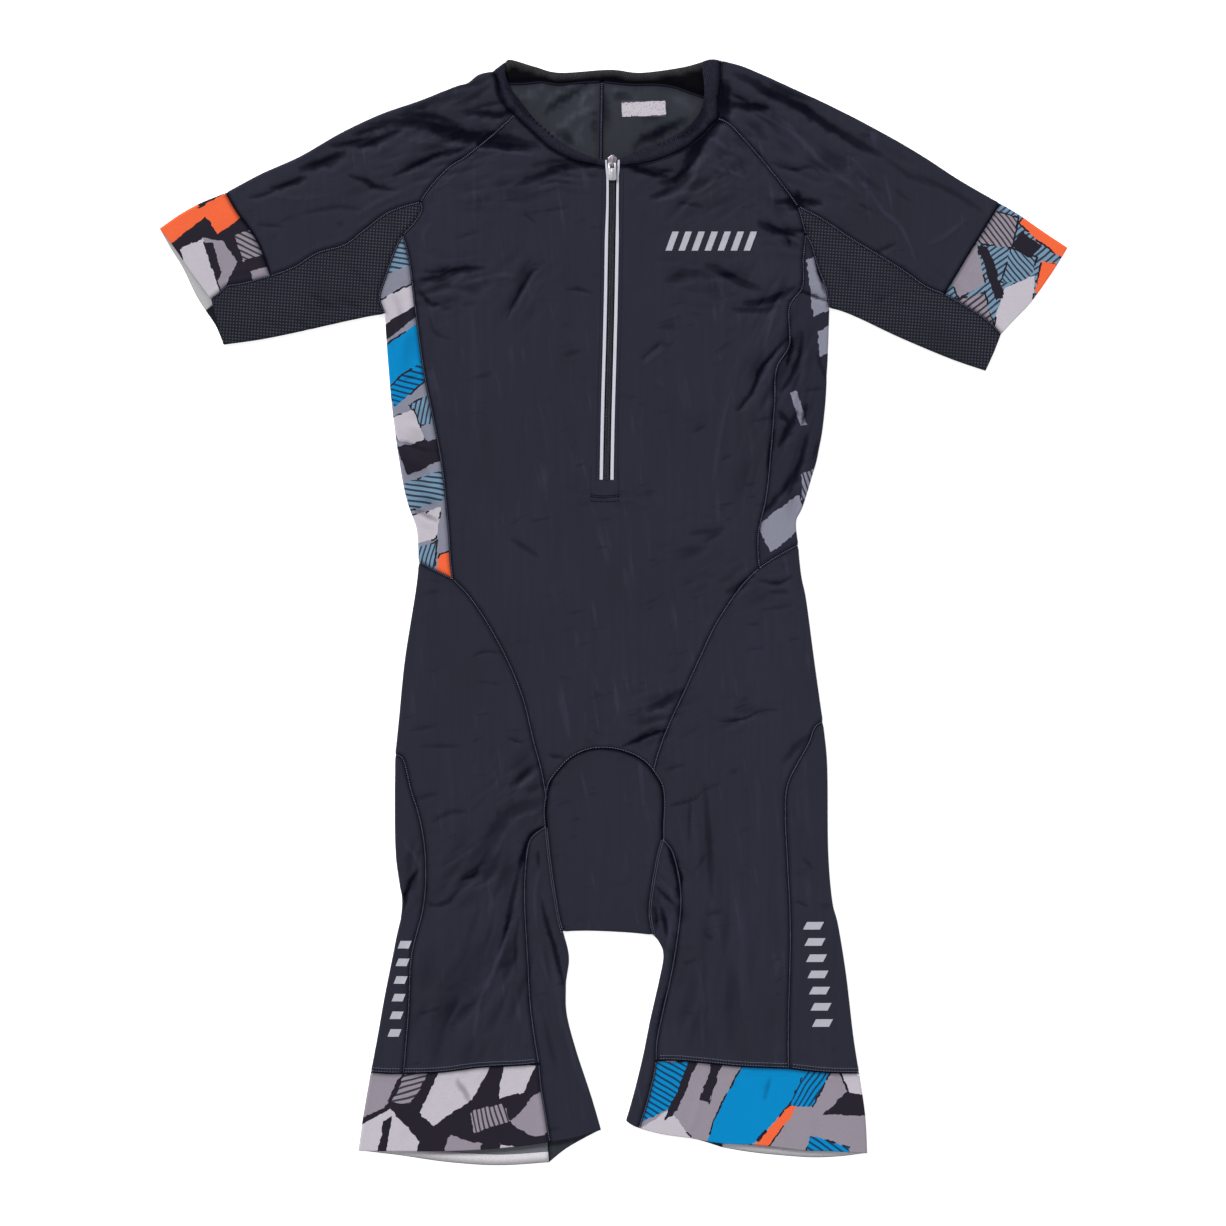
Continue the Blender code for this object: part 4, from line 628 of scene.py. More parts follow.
def cut_outline(loop, inset, step):
    """The loop moved inwards by each kind's inset, and for its folds the point numbers and ways out."""
    count = len(loop)
    corners = []
    for w, (line, points, _) in enumerate(loop):
        after, after_points, _ = loop[(w + 1) % count]
        corners.append(corner(points[-1], points[-1] - points[-2], after_points[1] - after_points[0],
                              inset[line.kind], inset[after.kind]))
    outline = []
    folds = {}
    for w, (line, points, forward) in enumerate(loop):
        first = corners[w - 1][1]
        last = corners[w][0]
        depth = inset[line.kind]
        ways = np.roll(points, -1, axis=0) - points
        normals = np.column_stack((-ways[:-1, 1], ways[:-1, 0]))
        normals /= np.linalg.norm(normals, axis=1)[:, None]
        middle = normals[1:] + normals[:-1]
        middle /= (middle ** 2).sum(axis=1)[:, None] / 2
        inner = points[1:-1] + middle * depth
        moved = np.vstack((first, inner, last))
        rims = np.vstack((corners[w - 1][3], points[1:-1], corners[w][2]))
        keep = np.ones(len(points), dtype=bool)
        if line.kind != "fold":
            for spot, moved_spot in ((points[0], first), (points[-1], last)):
                reach = np.linalg.norm(moved_spot - spot) + step * 0.7
                keep[1:-1] &= np.linalg.norm(points[1:-1] - spot, axis=1) > reach
        numbers = []
        for index in np.flatnonzero(keep):
            if not outline or np.linalg.norm(outline[-1] - moved[index]) > 1e-6:
                outline.append(moved[index])
            numbers.append(len(outline) - 1)
        if line.kind == "fold":
            rows = list(zip(numbers, (rims - moved) / depth))
            folds[line.name] = rows if forward else rows[::-1]
    if np.linalg.norm(outline[0] - outline[-1]) < 1e-6:
        last = len(outline) - 1
        outline.pop()
        folds = {name: [(0 if number == last else number, way) for number, way in rows]
                 for name, rows in folds.items()}
    return np.array(outline), folds


def inside(points, outline):
    """Which points lie inside a closed outline."""
    a = outline
    b = np.roll(outline, -1, axis=0)
    result = np.zeros(len(points), dtype=bool)
    slope = (b[:, 0] - a[:, 0]) / np.where(b[:, 1] == a[:, 1], 1e-12, b[:, 1] - a[:, 1])
    for start in range(0, len(points), 4000):
        x = points[start:start + 4000, 0][:, None]
        y = points[start:start + 4000, 1][:, None]
        hits = ((a[:, 1] > y) != (b[:, 1] > y)) & (x < slope * (y - a[:, 1]) + a[:, 0])
        result[start:start + 4000] = hits.sum(axis=1) % 2 == 1
    return result


# Shares of the step: how high the grid's rows stand over one another, and how far its points and those
# of the rows along the edge keep from the ones that are there already
GRID_RISE = 0.866
GRID_ROOM = 0.62
ROW_ROOM = 0.55


def inner_points(outline, step, rows):
    """Rows of points close along the outline, then an even grid over the rest."""
    way = np.roll(outline, -1, axis=0) - np.roll(outline, 1, axis=0)
    normal = np.column_stack((-way[:, 1], way[:, 0]))
    normal /= np.maximum(np.linalg.norm(normal, axis=1), 1e-9)[:, None]
    rim = tree_of(outline)
    extra = []
    for depth in rows:
        row = outline + normal * depth
        row = row[inside(row, outline)]
        extra.append(row[nearest(rim, row) > depth * ROW_ROOM])
    low = outline.min(axis=0)
    high = outline.max(axis=0)
    grid = []
    for number, y in enumerate(np.arange(low[1], high[1], step * GRID_RISE)):
        xs = np.arange(low[0] + (number % 2) * step * 0.5, high[0], step)
        grid.append(np.column_stack((xs, np.full(len(xs), y))))
    grid = np.vstack(grid)
    grid = grid[inside(grid, outline)]
    taken = tree_of(np.vstack([outline] + extra))
    return np.vstack(extra + [grid[nearest(taken, grid) > step * GRID_ROOM]])


# ---------------------------------------------------------------- the cloth's form
# Reaches in metres: the cloth is smooth this close to the zip and gains its full unrest over the ramp
ZIP_CALM = 0.007
ZIP_RAMP = 0.016
# The same ramp beside folds and, on a calm piece, beside seams
CALM_RAMP = 0.012
PUCKER_REACH = 0.009
DIP_REACH = 0.0022
# Where the swelling beside a seam is highest, and how wide it is
LIP_AT = 0.0042
LIP_REACH = 0.0018
# How far the painted shade beside a seam reaches, on the front layer and on the back one
SEAM_SHADE_REACH = 0.0025
BACK_SEAM_SHADE_REACH = 0.0017
CREASE_STEP = 0.0015
# The part of the back that shows through the neck: above this height and this near the middle
NECK_FROM = 0.42
NECK_HALF = 0.14


def crease_sum(points, table):
    """A table's creases at flat points: height in millimetres, and how strongly each point takes the painted
    shade of a trough and the painted highlight of a ridge.
    """
    total = np.zeros(len(points))
    shares = {-1.0: np.zeros(len(points)), 1.0: np.zeros(len(points))}
    for width, height, *way in table:
        path = spline(places(way), CREASE_STEP)
        reach = width * 0.0014
        near = ((points > path.min(axis=0) - reach) & (points < path.max(axis=0) + reach)).all(axis=1)
        if not near.any():
            continue
        tree = tree_of(path)
        found = [tree.find((x, y, 0.0)) for x, y in points[near]]
        share = np.array([index for _, index, _ in found]) / (len(path) - 1)
        away = np.array([distance for _, _, distance in found]) * 1000.0
        # A crease wavers in width, swells from its start and dies away at its end
        away *= (1.0 + 0.5 * noise_at(points[near], 0.010, 0.010, 31.0)
                 + 0.2 * noise_at(points[near], 0.004, 0.004, 9.0))
        taper = np.sin(np.pi * np.clip(share, 0.0, 1.0)) ** 0.55
        half = width * 0.5 * (0.35 + 0.65 * taper)
        total[near] += height * np.maximum(taper, 0.12) * np.exp(-(away / half) ** 1.7)
        # How strongly a point takes the painted shade of a trough or the painted highlight of a ridge
        core = np.maximum(half * 0.75, 1.4)
        level = min(abs(height) / 2.0, 1.0) * taper ** 0.7 * np.exp(-(away / core) ** 5)
        kept = shares[math.copysign(1.0, height)]
        kept[near] = np.maximum(kept[near], level)
    return total, shares[-1.0], shares[1.0]


def wrinkle_sum(points):
    """Height of the fields of small wrinkles at flat points, in millimetres."""
    total = np.zeros(len(points))
    for number, (x, y, rx, ry, turn, across, along, height) in enumerate(WRINKLES):
        shift = (points - place(x, y)) * 1000.0
        c = math.cos(math.radians(-turn))
        s = math.sin(math.radians(-turn))
        weight = np.exp(-(shift[:, 0] / rx) ** 2 - (shift[:, 1] / ry) ** 2)
        near = weight > 0.03
        if not near.any():
            continue
        u = (shift[near] @ np.array((c, s))) / along
        v = (shift[near] @ np.array((-s, c))) / across
        seed = 20.0 + number * 3.7
        wave = np.array([noise.noise(Vector((a, b, seed)))
                         + 0.45 * noise.noise(Vector((a * 1.7, b * 2.1, seed))) for a, b in zip(u, v)])
        total[near] += height * weight[near] * (0.5 - np.abs(wave) * 2.2)
    return total


class Surface:
    """Heights of the two layers' middle surfaces above the ground."""

    def __init__(self, pattern):
        self.cut = settings("cut")
        self.crease = settings("creases")
        lines = pattern.lines.values()
        seams = [line for line in lines if line.kind == "seam" and not line.name.startswith("zip")]
        behind = [line.points for line in seams if line.name.startswith(("back", "seat"))]
        before = [line.points for line in seams if not line.name.startswith(("back", "seat"))]
        self.rim = tree_of(np.vstack([line.points for line in lines if line.kind == "fold"]))
        self.seams = tree_of(np.vstack([even(points, 0.0012) for points in before]))
        self.back_seams = tree_of(np.vstack([even(points, 0.0012) for points in behind]))
        self.zip = tree_of(even(pattern.zip, 0.002))
        self.band = np.vstack([points[:-1] for _, points, _ in pattern.walk(BAND_BACK)])
        self.band_edge = tree_of(even(pattern.lines["back_neck_edge"].points, 0.0012))

    def front(self, points, calm=0.0):
        """Heights of flat points of the front layer, and how strongly they take painted shade in troughs,
        painted highlight on ridges and painted shade beside seams.
        """
        edge = self.cut.wall / 2 + self.cut.fold_radius * 2
        rim = nearest(self.rim, points)
        seam = nearest(self.seams, points)
        free = smooth((nearest(self.zip, points) - ZIP_CALM) / ZIP_RAMP)
        still = 1.0 - calm * smooth(seam / CALM_RAMP)
        open_field = smooth(rim / CALM_RAMP) * free * still
        z = edge + (self.cut.front_height - edge) * smooth(rim / self.cut.edge_ramp)
        creases, trough_shade, ridge_highlight = crease_sum(points, CREASES)
        fine = wrinkle_sum(points) * self.crease.fine
        creases = (creases + fine) * self.crease.strength * free * still
        z += creases / 1000.0 * (0.45 + 0.55 * smooth(rim / 0.008))
        z += self.crease.roll * noise_at(points, 0.052, 0.085, 3.1) * open_field
        z += self.crease.ripple * noise_at(points, 0.014, 0.060, 7.7) * open_field
        pucker = np.exp(-(seam / PUCKER_REACH) ** 2) * free
        z += self.crease.pucker * noise_at(points, 0.0085, 0.0085, 12.3) * pucker
        z -= self.crease.seam_dip * np.exp(-(seam / DIP_REACH) ** 2) * free
        z += self.crease.seam_lip * np.exp(-((seam - LIP_AT) / LIP_REACH) ** 2) * free
        # Painted shade also falls in the troughs of the small wrinkles
        trough_shade = np.clip(trough_shade + np.clip(-fine, 0.0, 1.0) * 0.4, 0.0, 1.0)
        shares = {"trough_shade": trough_shade * free * still, "ridge_highlight": ridge_highlight * free * still,
                  "seam_shade": np.exp(-(seam / SEAM_SHADE_REACH) ** 2)}
        return np.maximum(z, self.cut.lowest), shares

    def back(self, points, wall):
        """The same for the back layer, flat on the ground but for what shows through the neck, with a
        painted shadow on the turned neck band.
        """
        rise = np.zeros(len(points))
        trough_shade = np.zeros(len(points))
        ridge_highlight = np.zeros(len(points))
        top = (points[:, 1] > NECK_FROM) & (np.abs(points[:, 0]) < NECK_HALF)
        if top.any():
            heights, trough_shade[top], ridge_highlight[top] = crease_sum(points[top], BACK_CREASES)
            rise[top] = np.clip(heights, 0.0, 1.6)
            # Painted shadow on the turned neck band, from a little below its top edge
            turned = smooth((nearest(self.band_edge, points[top]) - 0.0035) / 0.004)
            trough_shade[top] = np.maximum(trough_shade[top], inside(points[top], self.band) * turned)
        # Painted shade beside the back layer's seams
        seam_shade = np.exp(-(nearest(self.back_seams, points) / BACK_SEAM_SHADE_REACH) ** 2)
        return wall / 2 + rise / 1000.0, {"trough_shade": trough_shade, "ridge_highlight": ridge_highlight, "seam_shade": seam_shade}


class Mesh:
    """Gathers points, faces and point values of one piece before it becomes an object."""

    def __init__(self):
        self.points = []
        self.faces = []
        # Point values: painted shade in troughs, painted highlight on ridges, painted shade beside seams
        self.values = {"trough_shade": [], "ridge_highlight": [], "seam_shade": []}
        self.flat_area = 0.0

    def add(self, points, faces, **values):
        start = sum(len(block) for block in self.points)
        self.points.append(np.asarray(points, dtype=float))
        self.faces.extend(tuple(start + i for i in face) for face in faces)
        for name, rows in self.values.items():
            rows.append(np.broadcast_to(values.get(name, 0.0), (len(points),)).astype(float))
        return start

    def layer(self, outline, height, step, up, rows):
        """One layer of cloth inside an outline; gives the number of each outline point."""
        flat = np.vstack((outline, inner_points(outline, step, rows)))
        loop = list(range(len(outline)))
        coords, _, faces, origins, _, _ = delaunay_2d_cdt([Vector(p) for p in flat], [], [loop], 1, 1e-9)
        coords = np.array([(p.x, p.y) for p in coords])
        z, values = height(coords)
        tidy = []
        for face in faces:
            a, b, c = (coords[i] for i in face[:3])
            turn = (b[0] - a[0]) * (c[1] - a[1]) - (b[1] - a[1]) * (c[0] - a[0])
            self.flat_area += abs(turn) / 2
            tidy.append(face if (turn > 0) == up else face[::-1])
        start = self.add(np.column_stack((coords, z)), tidy, **values)
        numbers = {}
        for index, sources in enumerate(origins):
            for source in sources:
                numbers[source] = start + index
        return numbers

    def at(self, index):
        for block in self.points:
            if index < len(block):
                return block[index]
            index -= len(block)
        raise IndexError(index)

    def fold(self, top_rows, bottom_rows, segments):
        """Rounds the cloth over from the front layer to the back layer."""
        rings = []
        for (top, way), (bottom, way_back) in zip(top_rows, bottom_rows):
            a = self.at(top)
            b = self.at(bottom)
            radius = (a[2] - b[2]) / 2
            ring = []
            for k in range(1, segments):
                share = k / segments
                out = (way * (1 - share) + way_back * share) * radius * math.sin(math.pi * share)
                flat = a[:2] * (1 - share) + b[:2] * share + out
                ring.append((flat[0], flat[1], (a[2] + b[2]) / 2 + radius * math.cos(math.pi * share)))
            start = self.add(ring, [])
            rings.append([top] + [start + k for k in range(segments - 1)] + [bottom])
        for one, two in zip(rings, rings[1:]):
            a = self.at(one[0])
            b = self.at(two[0])
            out = self.at(one[segments // 2]) - a
            outward = (b[0] - a[0]) * out[1] - (b[1] - a[1]) * out[0] < 0
            self.flat_area += math.dist(a, b) * math.pi * abs(a[2] - self.at(one[-1])[2]) / 2
            for k in range(segments):
                face = (one[k], one[k + 1], two[k + 1], two[k])
                self.faces.append(face if outward else face[::-1])

    def to_object(self, name, materials):
        data = bpy.data.meshes.new(name)
        data.from_pydata(np.vstack(self.points).tolist(), [], self.faces)
        for label, blocks in self.values.items():
            layer = data.attributes.new(label, "FLOAT", "POINT")
            layer.data.foreach_set("value", np.concatenate(blocks))
        smooth_faces(data)
        for material in materials:
            data.materials.append(material)
        return link_new(name, data)


def give_wall(piece, thickness, inner_slot=1):
    """A live wall of even thickness about the piece's surface."""
    wall = piece.modifiers.new("Wall", "SOLIDIFY")
    wall.thickness = thickness
    wall.offset = 0.0
    wall.use_even_offset = True
    wall.use_quality_normals = True
    wall.material_offset = inner_slot
    wall.material_offset_rim = 0


class Suit:
    """The drafted suit, made once and shared by the operators."""

    made = None
    # Rows of points close along a layer's cut edges, in metres from them
    FRONT_ROWS = (0.0010, 0.0023)
    BACK_ROWS = (0.0018,)
    # How much coarser the back layer's mesh is, and the faces across a turned fold
    BACK_COARSER = 2.2
    FOLD_FACES = 6
    # The length of a closed strip as a share of all its edges together
    STRIP_SHARE = 0.46

    @classmethod
    def get(cls):
        if cls.made is None:
            cls.made = cls()
        return cls.made

    def __init__(self):
        self.step = settings("cut").step * 1.0
        self.pattern = Pattern(self.step)
        self.surface = Surface(self.pattern)
        self.finishes = {}

    def finish(self, name):
        if name not in self.finishes:
            make, *given = FINISHES[name]
            self.finishes[name] = make(*given)
        return self.finishes[name]

    def inset(self):
        cut = settings("cut")
        return {"seam": cut.seam_gap / 2, "fold": cut.fold_radius + cut.wall / 2, "free": 0.0}

    def sheet(self, name, fronts, backs, outer, inner, wall=None, calm=0.0, rests_on=(), strip=False):
        """A cut piece of cloth that replaces its plain solid."""
        wall = wall or settings("cut").wall
        mesh = Mesh()
        top = {}
        bottom = {}
        spans = [0.0, 0.0]
        rims = 0.0
        layers = ((fronts, top, partial(self.surface.front, calm=calm), self.step, self.FRONT_ROWS),
                  (backs, bottom, partial(self.surface.back, wall=wall), self.step * self.BACK_COARSER,
                   self.BACK_ROWS))
        for loops, rows, height, step, close_rows in layers:
            width = 0.0
            for names in loops:
                outline, folds = cut_outline(self.pattern.walk(names), self.inset(), self.step)
                numbers = mesh.layer(outline, height, step, rows is top, close_rows)
                for fold, ends in folds.items():
                    rows[fold] = [(numbers[number], way) for number, way in ends]
                rims += np.linalg.norm(np.roll(outline, -1, axis=0) - outline, axis=1).sum()
                size = outline.max(axis=0) - outline.min(axis=0)
                width = max(width, size.min())
                spans[1] = max(spans[1], size.max())
            spans[0] += width
        for fold in top:
            if fold in bottom:
                mesh.fold(top[fold], bottom[fold], self.FOLD_FACES)
        piece = mesh.to_object(name + "_cloth", [self.finish(outer), self.finish(inner)])
        give_wall(piece, wall)
        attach(piece, GARMENT)
        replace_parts(piece, name)
        along = rims * self.STRIP_SHARE
        flat = [mesh.flat_area / along, along] if strip else spans
        if mesh.flat_area > flat[0] * flat[1]:
            flat[0] = mesh.flat_area / flat[1] * 1.02

    def pair(self, name, outer, inner):
        """The same cut piece on the wearer's right and left; a print has its own finish on each."""
        front, back = SIDE_PIECES[name]
        for side, word in SIDES:
            fronts = [self.pattern.sided(front, side)] if front else []
            finish = f"{outer}_{word}" if outer.startswith("print") else outer
            self.sheet(f"{name}_{word}", fronts, [self.pattern.sided(back, side)], finish, inner)


# ---------------------------------------------------------------- shader building
class Level:
    """A number that varies over a surface; arithmetic on it adds Math nodes."""

    def __init__(self, graph, socket):
        self.graph = graph
        self.socket = socket

    def joined(self, operation, *others, clamp=False):
        inputs = dict(enumerate((self, *others)))
        made = self.graph.node("ShaderNodeMath", {"operation": operation, "use_clamp": clamp}, inputs)
        return Level(self.graph, made.outputs[0])

    __add__ = __radd__ = partialmethod(joined, "ADD")
    __sub__ = partialmethod(joined, "SUBTRACT")
    __mul__ = __rmul__ = partialmethod(joined, "MULTIPLY")
    __gt__ = partialmethod(joined, "GREATER_THAN")
    __lt__ = partialmethod(joined, "LESS_THAN")
    highest = partialmethod(joined, "MAXIMUM")
    lowest = partialmethod(joined, "MINIMUM")
    sine = partialmethod(joined, "SINE")
    absolute = partialmethod(joined, "ABSOLUTE")
    clamped = partialmethod(joined, "ADD", 0.0, clamp=True)


# Distances in metres between ribs, dots, threads and ruled lines
KNIT_RIB = 0.0011
BAND_RIB = 0.0022
MESH_DOT = 0.0031
TAPE_WARP = 0.0009
TAPE_WEFT = 0.0012
RULED_ACROSS = 0.0052
RULED_ALONG = 0.0044
# A faint bluish gloss, for the knits
COOL = {"Specular IOR Level": 0.05, "Specular Tint": (0.70, 0.74, 1.0, 1.0)}


class Nodes:
    """Adds nodes to a tree."""

    def __init__(self, tree):
        self.tree = tree

    def node(self, kind, options=None, inputs=None):
        """A node with its settings, then the values or links of its sockets."""
        made = self.tree.nodes.new(kind)
        for label, value in (options or {}).items():
            setattr(made, label, value)
        for key, value in (inputs or {}).items():
            value = value.socket if isinstance(value, Level) else value
            if isinstance(value, bpy.types.NodeSocket):
                self.tree.links.new(value, made.inputs[key])
            else:
                made.inputs[key].default_value = value
        return made


class Graph(Nodes):
    """The nodes of one material."""

    def __init__(self, name, colour, roughness, metallic=0.0, **fixed):
        self.material = bpy.data.materials.new(name)
        self.material.use_nodes = True
        super().__init__(self.material.node_tree)
        self.shader = self.tree.nodes["Principled BSDF"]
        fixed = {"Base Color": (*colour, 1.0), "Roughness": roughness, "Metallic": metallic, **fixed}
        for label, value in fixed.items():
            self.shader.inputs[label].default_value = value
        self.material.diffuse_color = (*colour, 1.0)

    def done(self, colour=None, normal=None, roughness=None):
        """The material, once its shader is fed."""
        for label, source in (("Base Color", colour), ("Roughness", roughness), ("Normal", normal)):
            if source is not None:
                source = source.socket if isinstance(source, Level) else source
                self.tree.links.new(source, self.shader.inputs[label])
        return self.material

    def place(self, turn=0.0, scale=(1.0, 1.0, 1.0)):
        """The piece's own coordinates in metres, turned about Z in degrees, then stretched."""
        coords = self.node("ShaderNodeTexCoord").outputs["Object"]
        turned = self.node("ShaderNodeMapping", None,
                           {"Vector": coords, "Rotation": (0.0, 0.0, math.radians(turn))})
        return self.node("ShaderNodeVectorMath", {"operation": "MULTIPLY"},
                         {0: turned.outputs[0], 1: scale}).outputs[0]

    def torn(self, vector, scale, reach):
        """The same coordinates, pushed about by noise so that straight borders turn ragged."""
        push = self.node("ShaderNodeTexNoise", None, {"Vector": vector, "Scale": scale, "Detail": 2.0})
        middle = self.node("ShaderNodeVectorMath", {"operation": "SUBTRACT"},
                           {0: push.outputs["Color"], 1: (0.5, 0.5, 0.5)})
        return self.node("ShaderNodeVectorMath", {"operation": "MULTIPLY_ADD"},
                         {0: middle.outputs[0], 1: (reach, reach, 0.0), 2: vector}).outputs[0]

    def axes(self, vector):
        split = self.node("ShaderNodeSeparateXYZ", None, {0: vector})
        return [Level(self, split.outputs[k]) for k in range(3)]

    def grain(self, vector, scale, detail):
        made = self.node("ShaderNodeTexNoise", None, {"Vector": vector, "Scale": scale, "Detail": detail})
        return Level(self, made.outputs[0])

    def value(self, name):
        return Level(self, self.node("ShaderNodeAttribute", {"attribute_name": name}).outputs["Fac"])

    def mix(self, factor, first, second, blend="MIX"):
        first, second = ((*value, 1.0) if isinstance(value, tuple) else value for value in (first, second))
        return self.node("ShaderNodeMix", {"data_type": "RGBA", "blend_type": blend, "clamp_factor": True},
                         {0: factor, 6: first, 7: second}).outputs[2]

    def bump(self, height, strength, distance, under=None):
        inputs = {"Height": height, "Strength": strength, "Distance": distance}
        if under is not None:
            inputs["Normal"] = under
        return self.node("ShaderNodeBump", None, inputs).outputs[0]


def tint(name):
    return tuple(getattr(settings("colours"), "cloth" if name == "plain" else name))


def shade(base, factor):
    return tuple(channel * factor for channel in base)


def knit_finish(name, colour_name, roughness, relief=0.5, patchy=0.7, highlight_gain=1.9):
    """Stretch knit: soft lengthwise streaks, with painted shade along seams and in troughs and painted
    highlights on ridges.
    """
    base = tint(colour_name)
    graph = Graph(name, base, roughness, **COOL, **{"Sheen Weight": 0.006, "Sheen Roughness": 0.5,
                                                    "Sheen Tint": (0.70, 0.72, 1.0, 1.0)})
    streaks = graph.grain(graph.place(0.0, (1.0, 0.07, 1.0)), 210.0, 3.0)
    patches = graph.grain(graph.place(), 9.0, 2.0)
    worn = (streaks - 0.5) * (patches * 1.25) + (patches - 0.5) * patchy + 0.5
    tone = graph.mix(worn, (base[0] * 0.82, base[1] * 0.88, base[2] * 0.74), shade(base, 1.22))
    # Painted highlights along fine creases and painted shade in short dashes, in some places only
    here = ((graph.grain(graph.place(71.0), 17.0, 1.0) - 0.44) * 6.0).clamped()
    fine = graph.grain(graph.torn(graph.place(-9.0, (1.0, 0.13, 1.0)), 30.0, 0.012), 135.0, 1.5)
    lit = ((fine - 0.60) * 9.0).clamped() * here
    shadow_dash_noise = graph.grain(graph.torn(graph.place(74.0, (1.0, 0.30, 1.0)), 40.0, 0.02), 120.0, 2.0)
    shaded = ((shadow_dash_noise - 0.62) * 10.0).clamped() * here
    tone = graph.mix(lit * 0.5, tone, shade(base, 1.7))
    # Painted highlight on the ridges of creases
    ridge_highlight = graph.value("ridge_highlight") * (streaks * 1.2 + 0.2)
    tone = graph.mix(ridge_highlight.clamped(), tone, shade(base, highlight_gain))
    # Painted shade beside seams, in troughs and in the short dashes
    painted_shade = (graph.value("seam_shade") + graph.value("trough_shade") + shaded * 0.30).clamped()
    soft = graph.bump(streaks, relief * 0.5, 0.0005)
    ribs = graph.axes(graph.place())[0] * (math.tau / KNIT_RIB)
    return graph.done(graph.mix(painted_shade, tone, tint("deep")), graph.bump(ribs.sine(), 0.12, 0.0002, soft),
                      roughness + (streaks - 0.5) * 0.16)


def mesh_finish():
    """Open knit with rows of raised dots."""
    base = tint("mesh")
    graph = Graph("underarm_mesh", base, 0.66, **COOL)
    x, y, _ = graph.axes(graph.place(4.0))
    wave = (x * (math.pi / MESH_DOT)).sine() * (y * (math.pi / MESH_DOT)).sine()
    dots = ((wave.absolute() - 0.55) * 4.0).clamped()
    # Painted shade beside seams and in troughs
    painted_shade = (0.55 * graph.value("seam_shade") + 0.45 * graph.value("trough_shade")).clamped()
    patches = graph.grain(graph.place(), 26.0, 2.0)
    colours = graph.mix(dots * (0.35 + 1.1 * patches), base, tint("mesh_dot"))
    return graph.done(graph.mix(painted_shade, colours, tint("deep")), graph.bump(dots, 0.5, 0.0005))


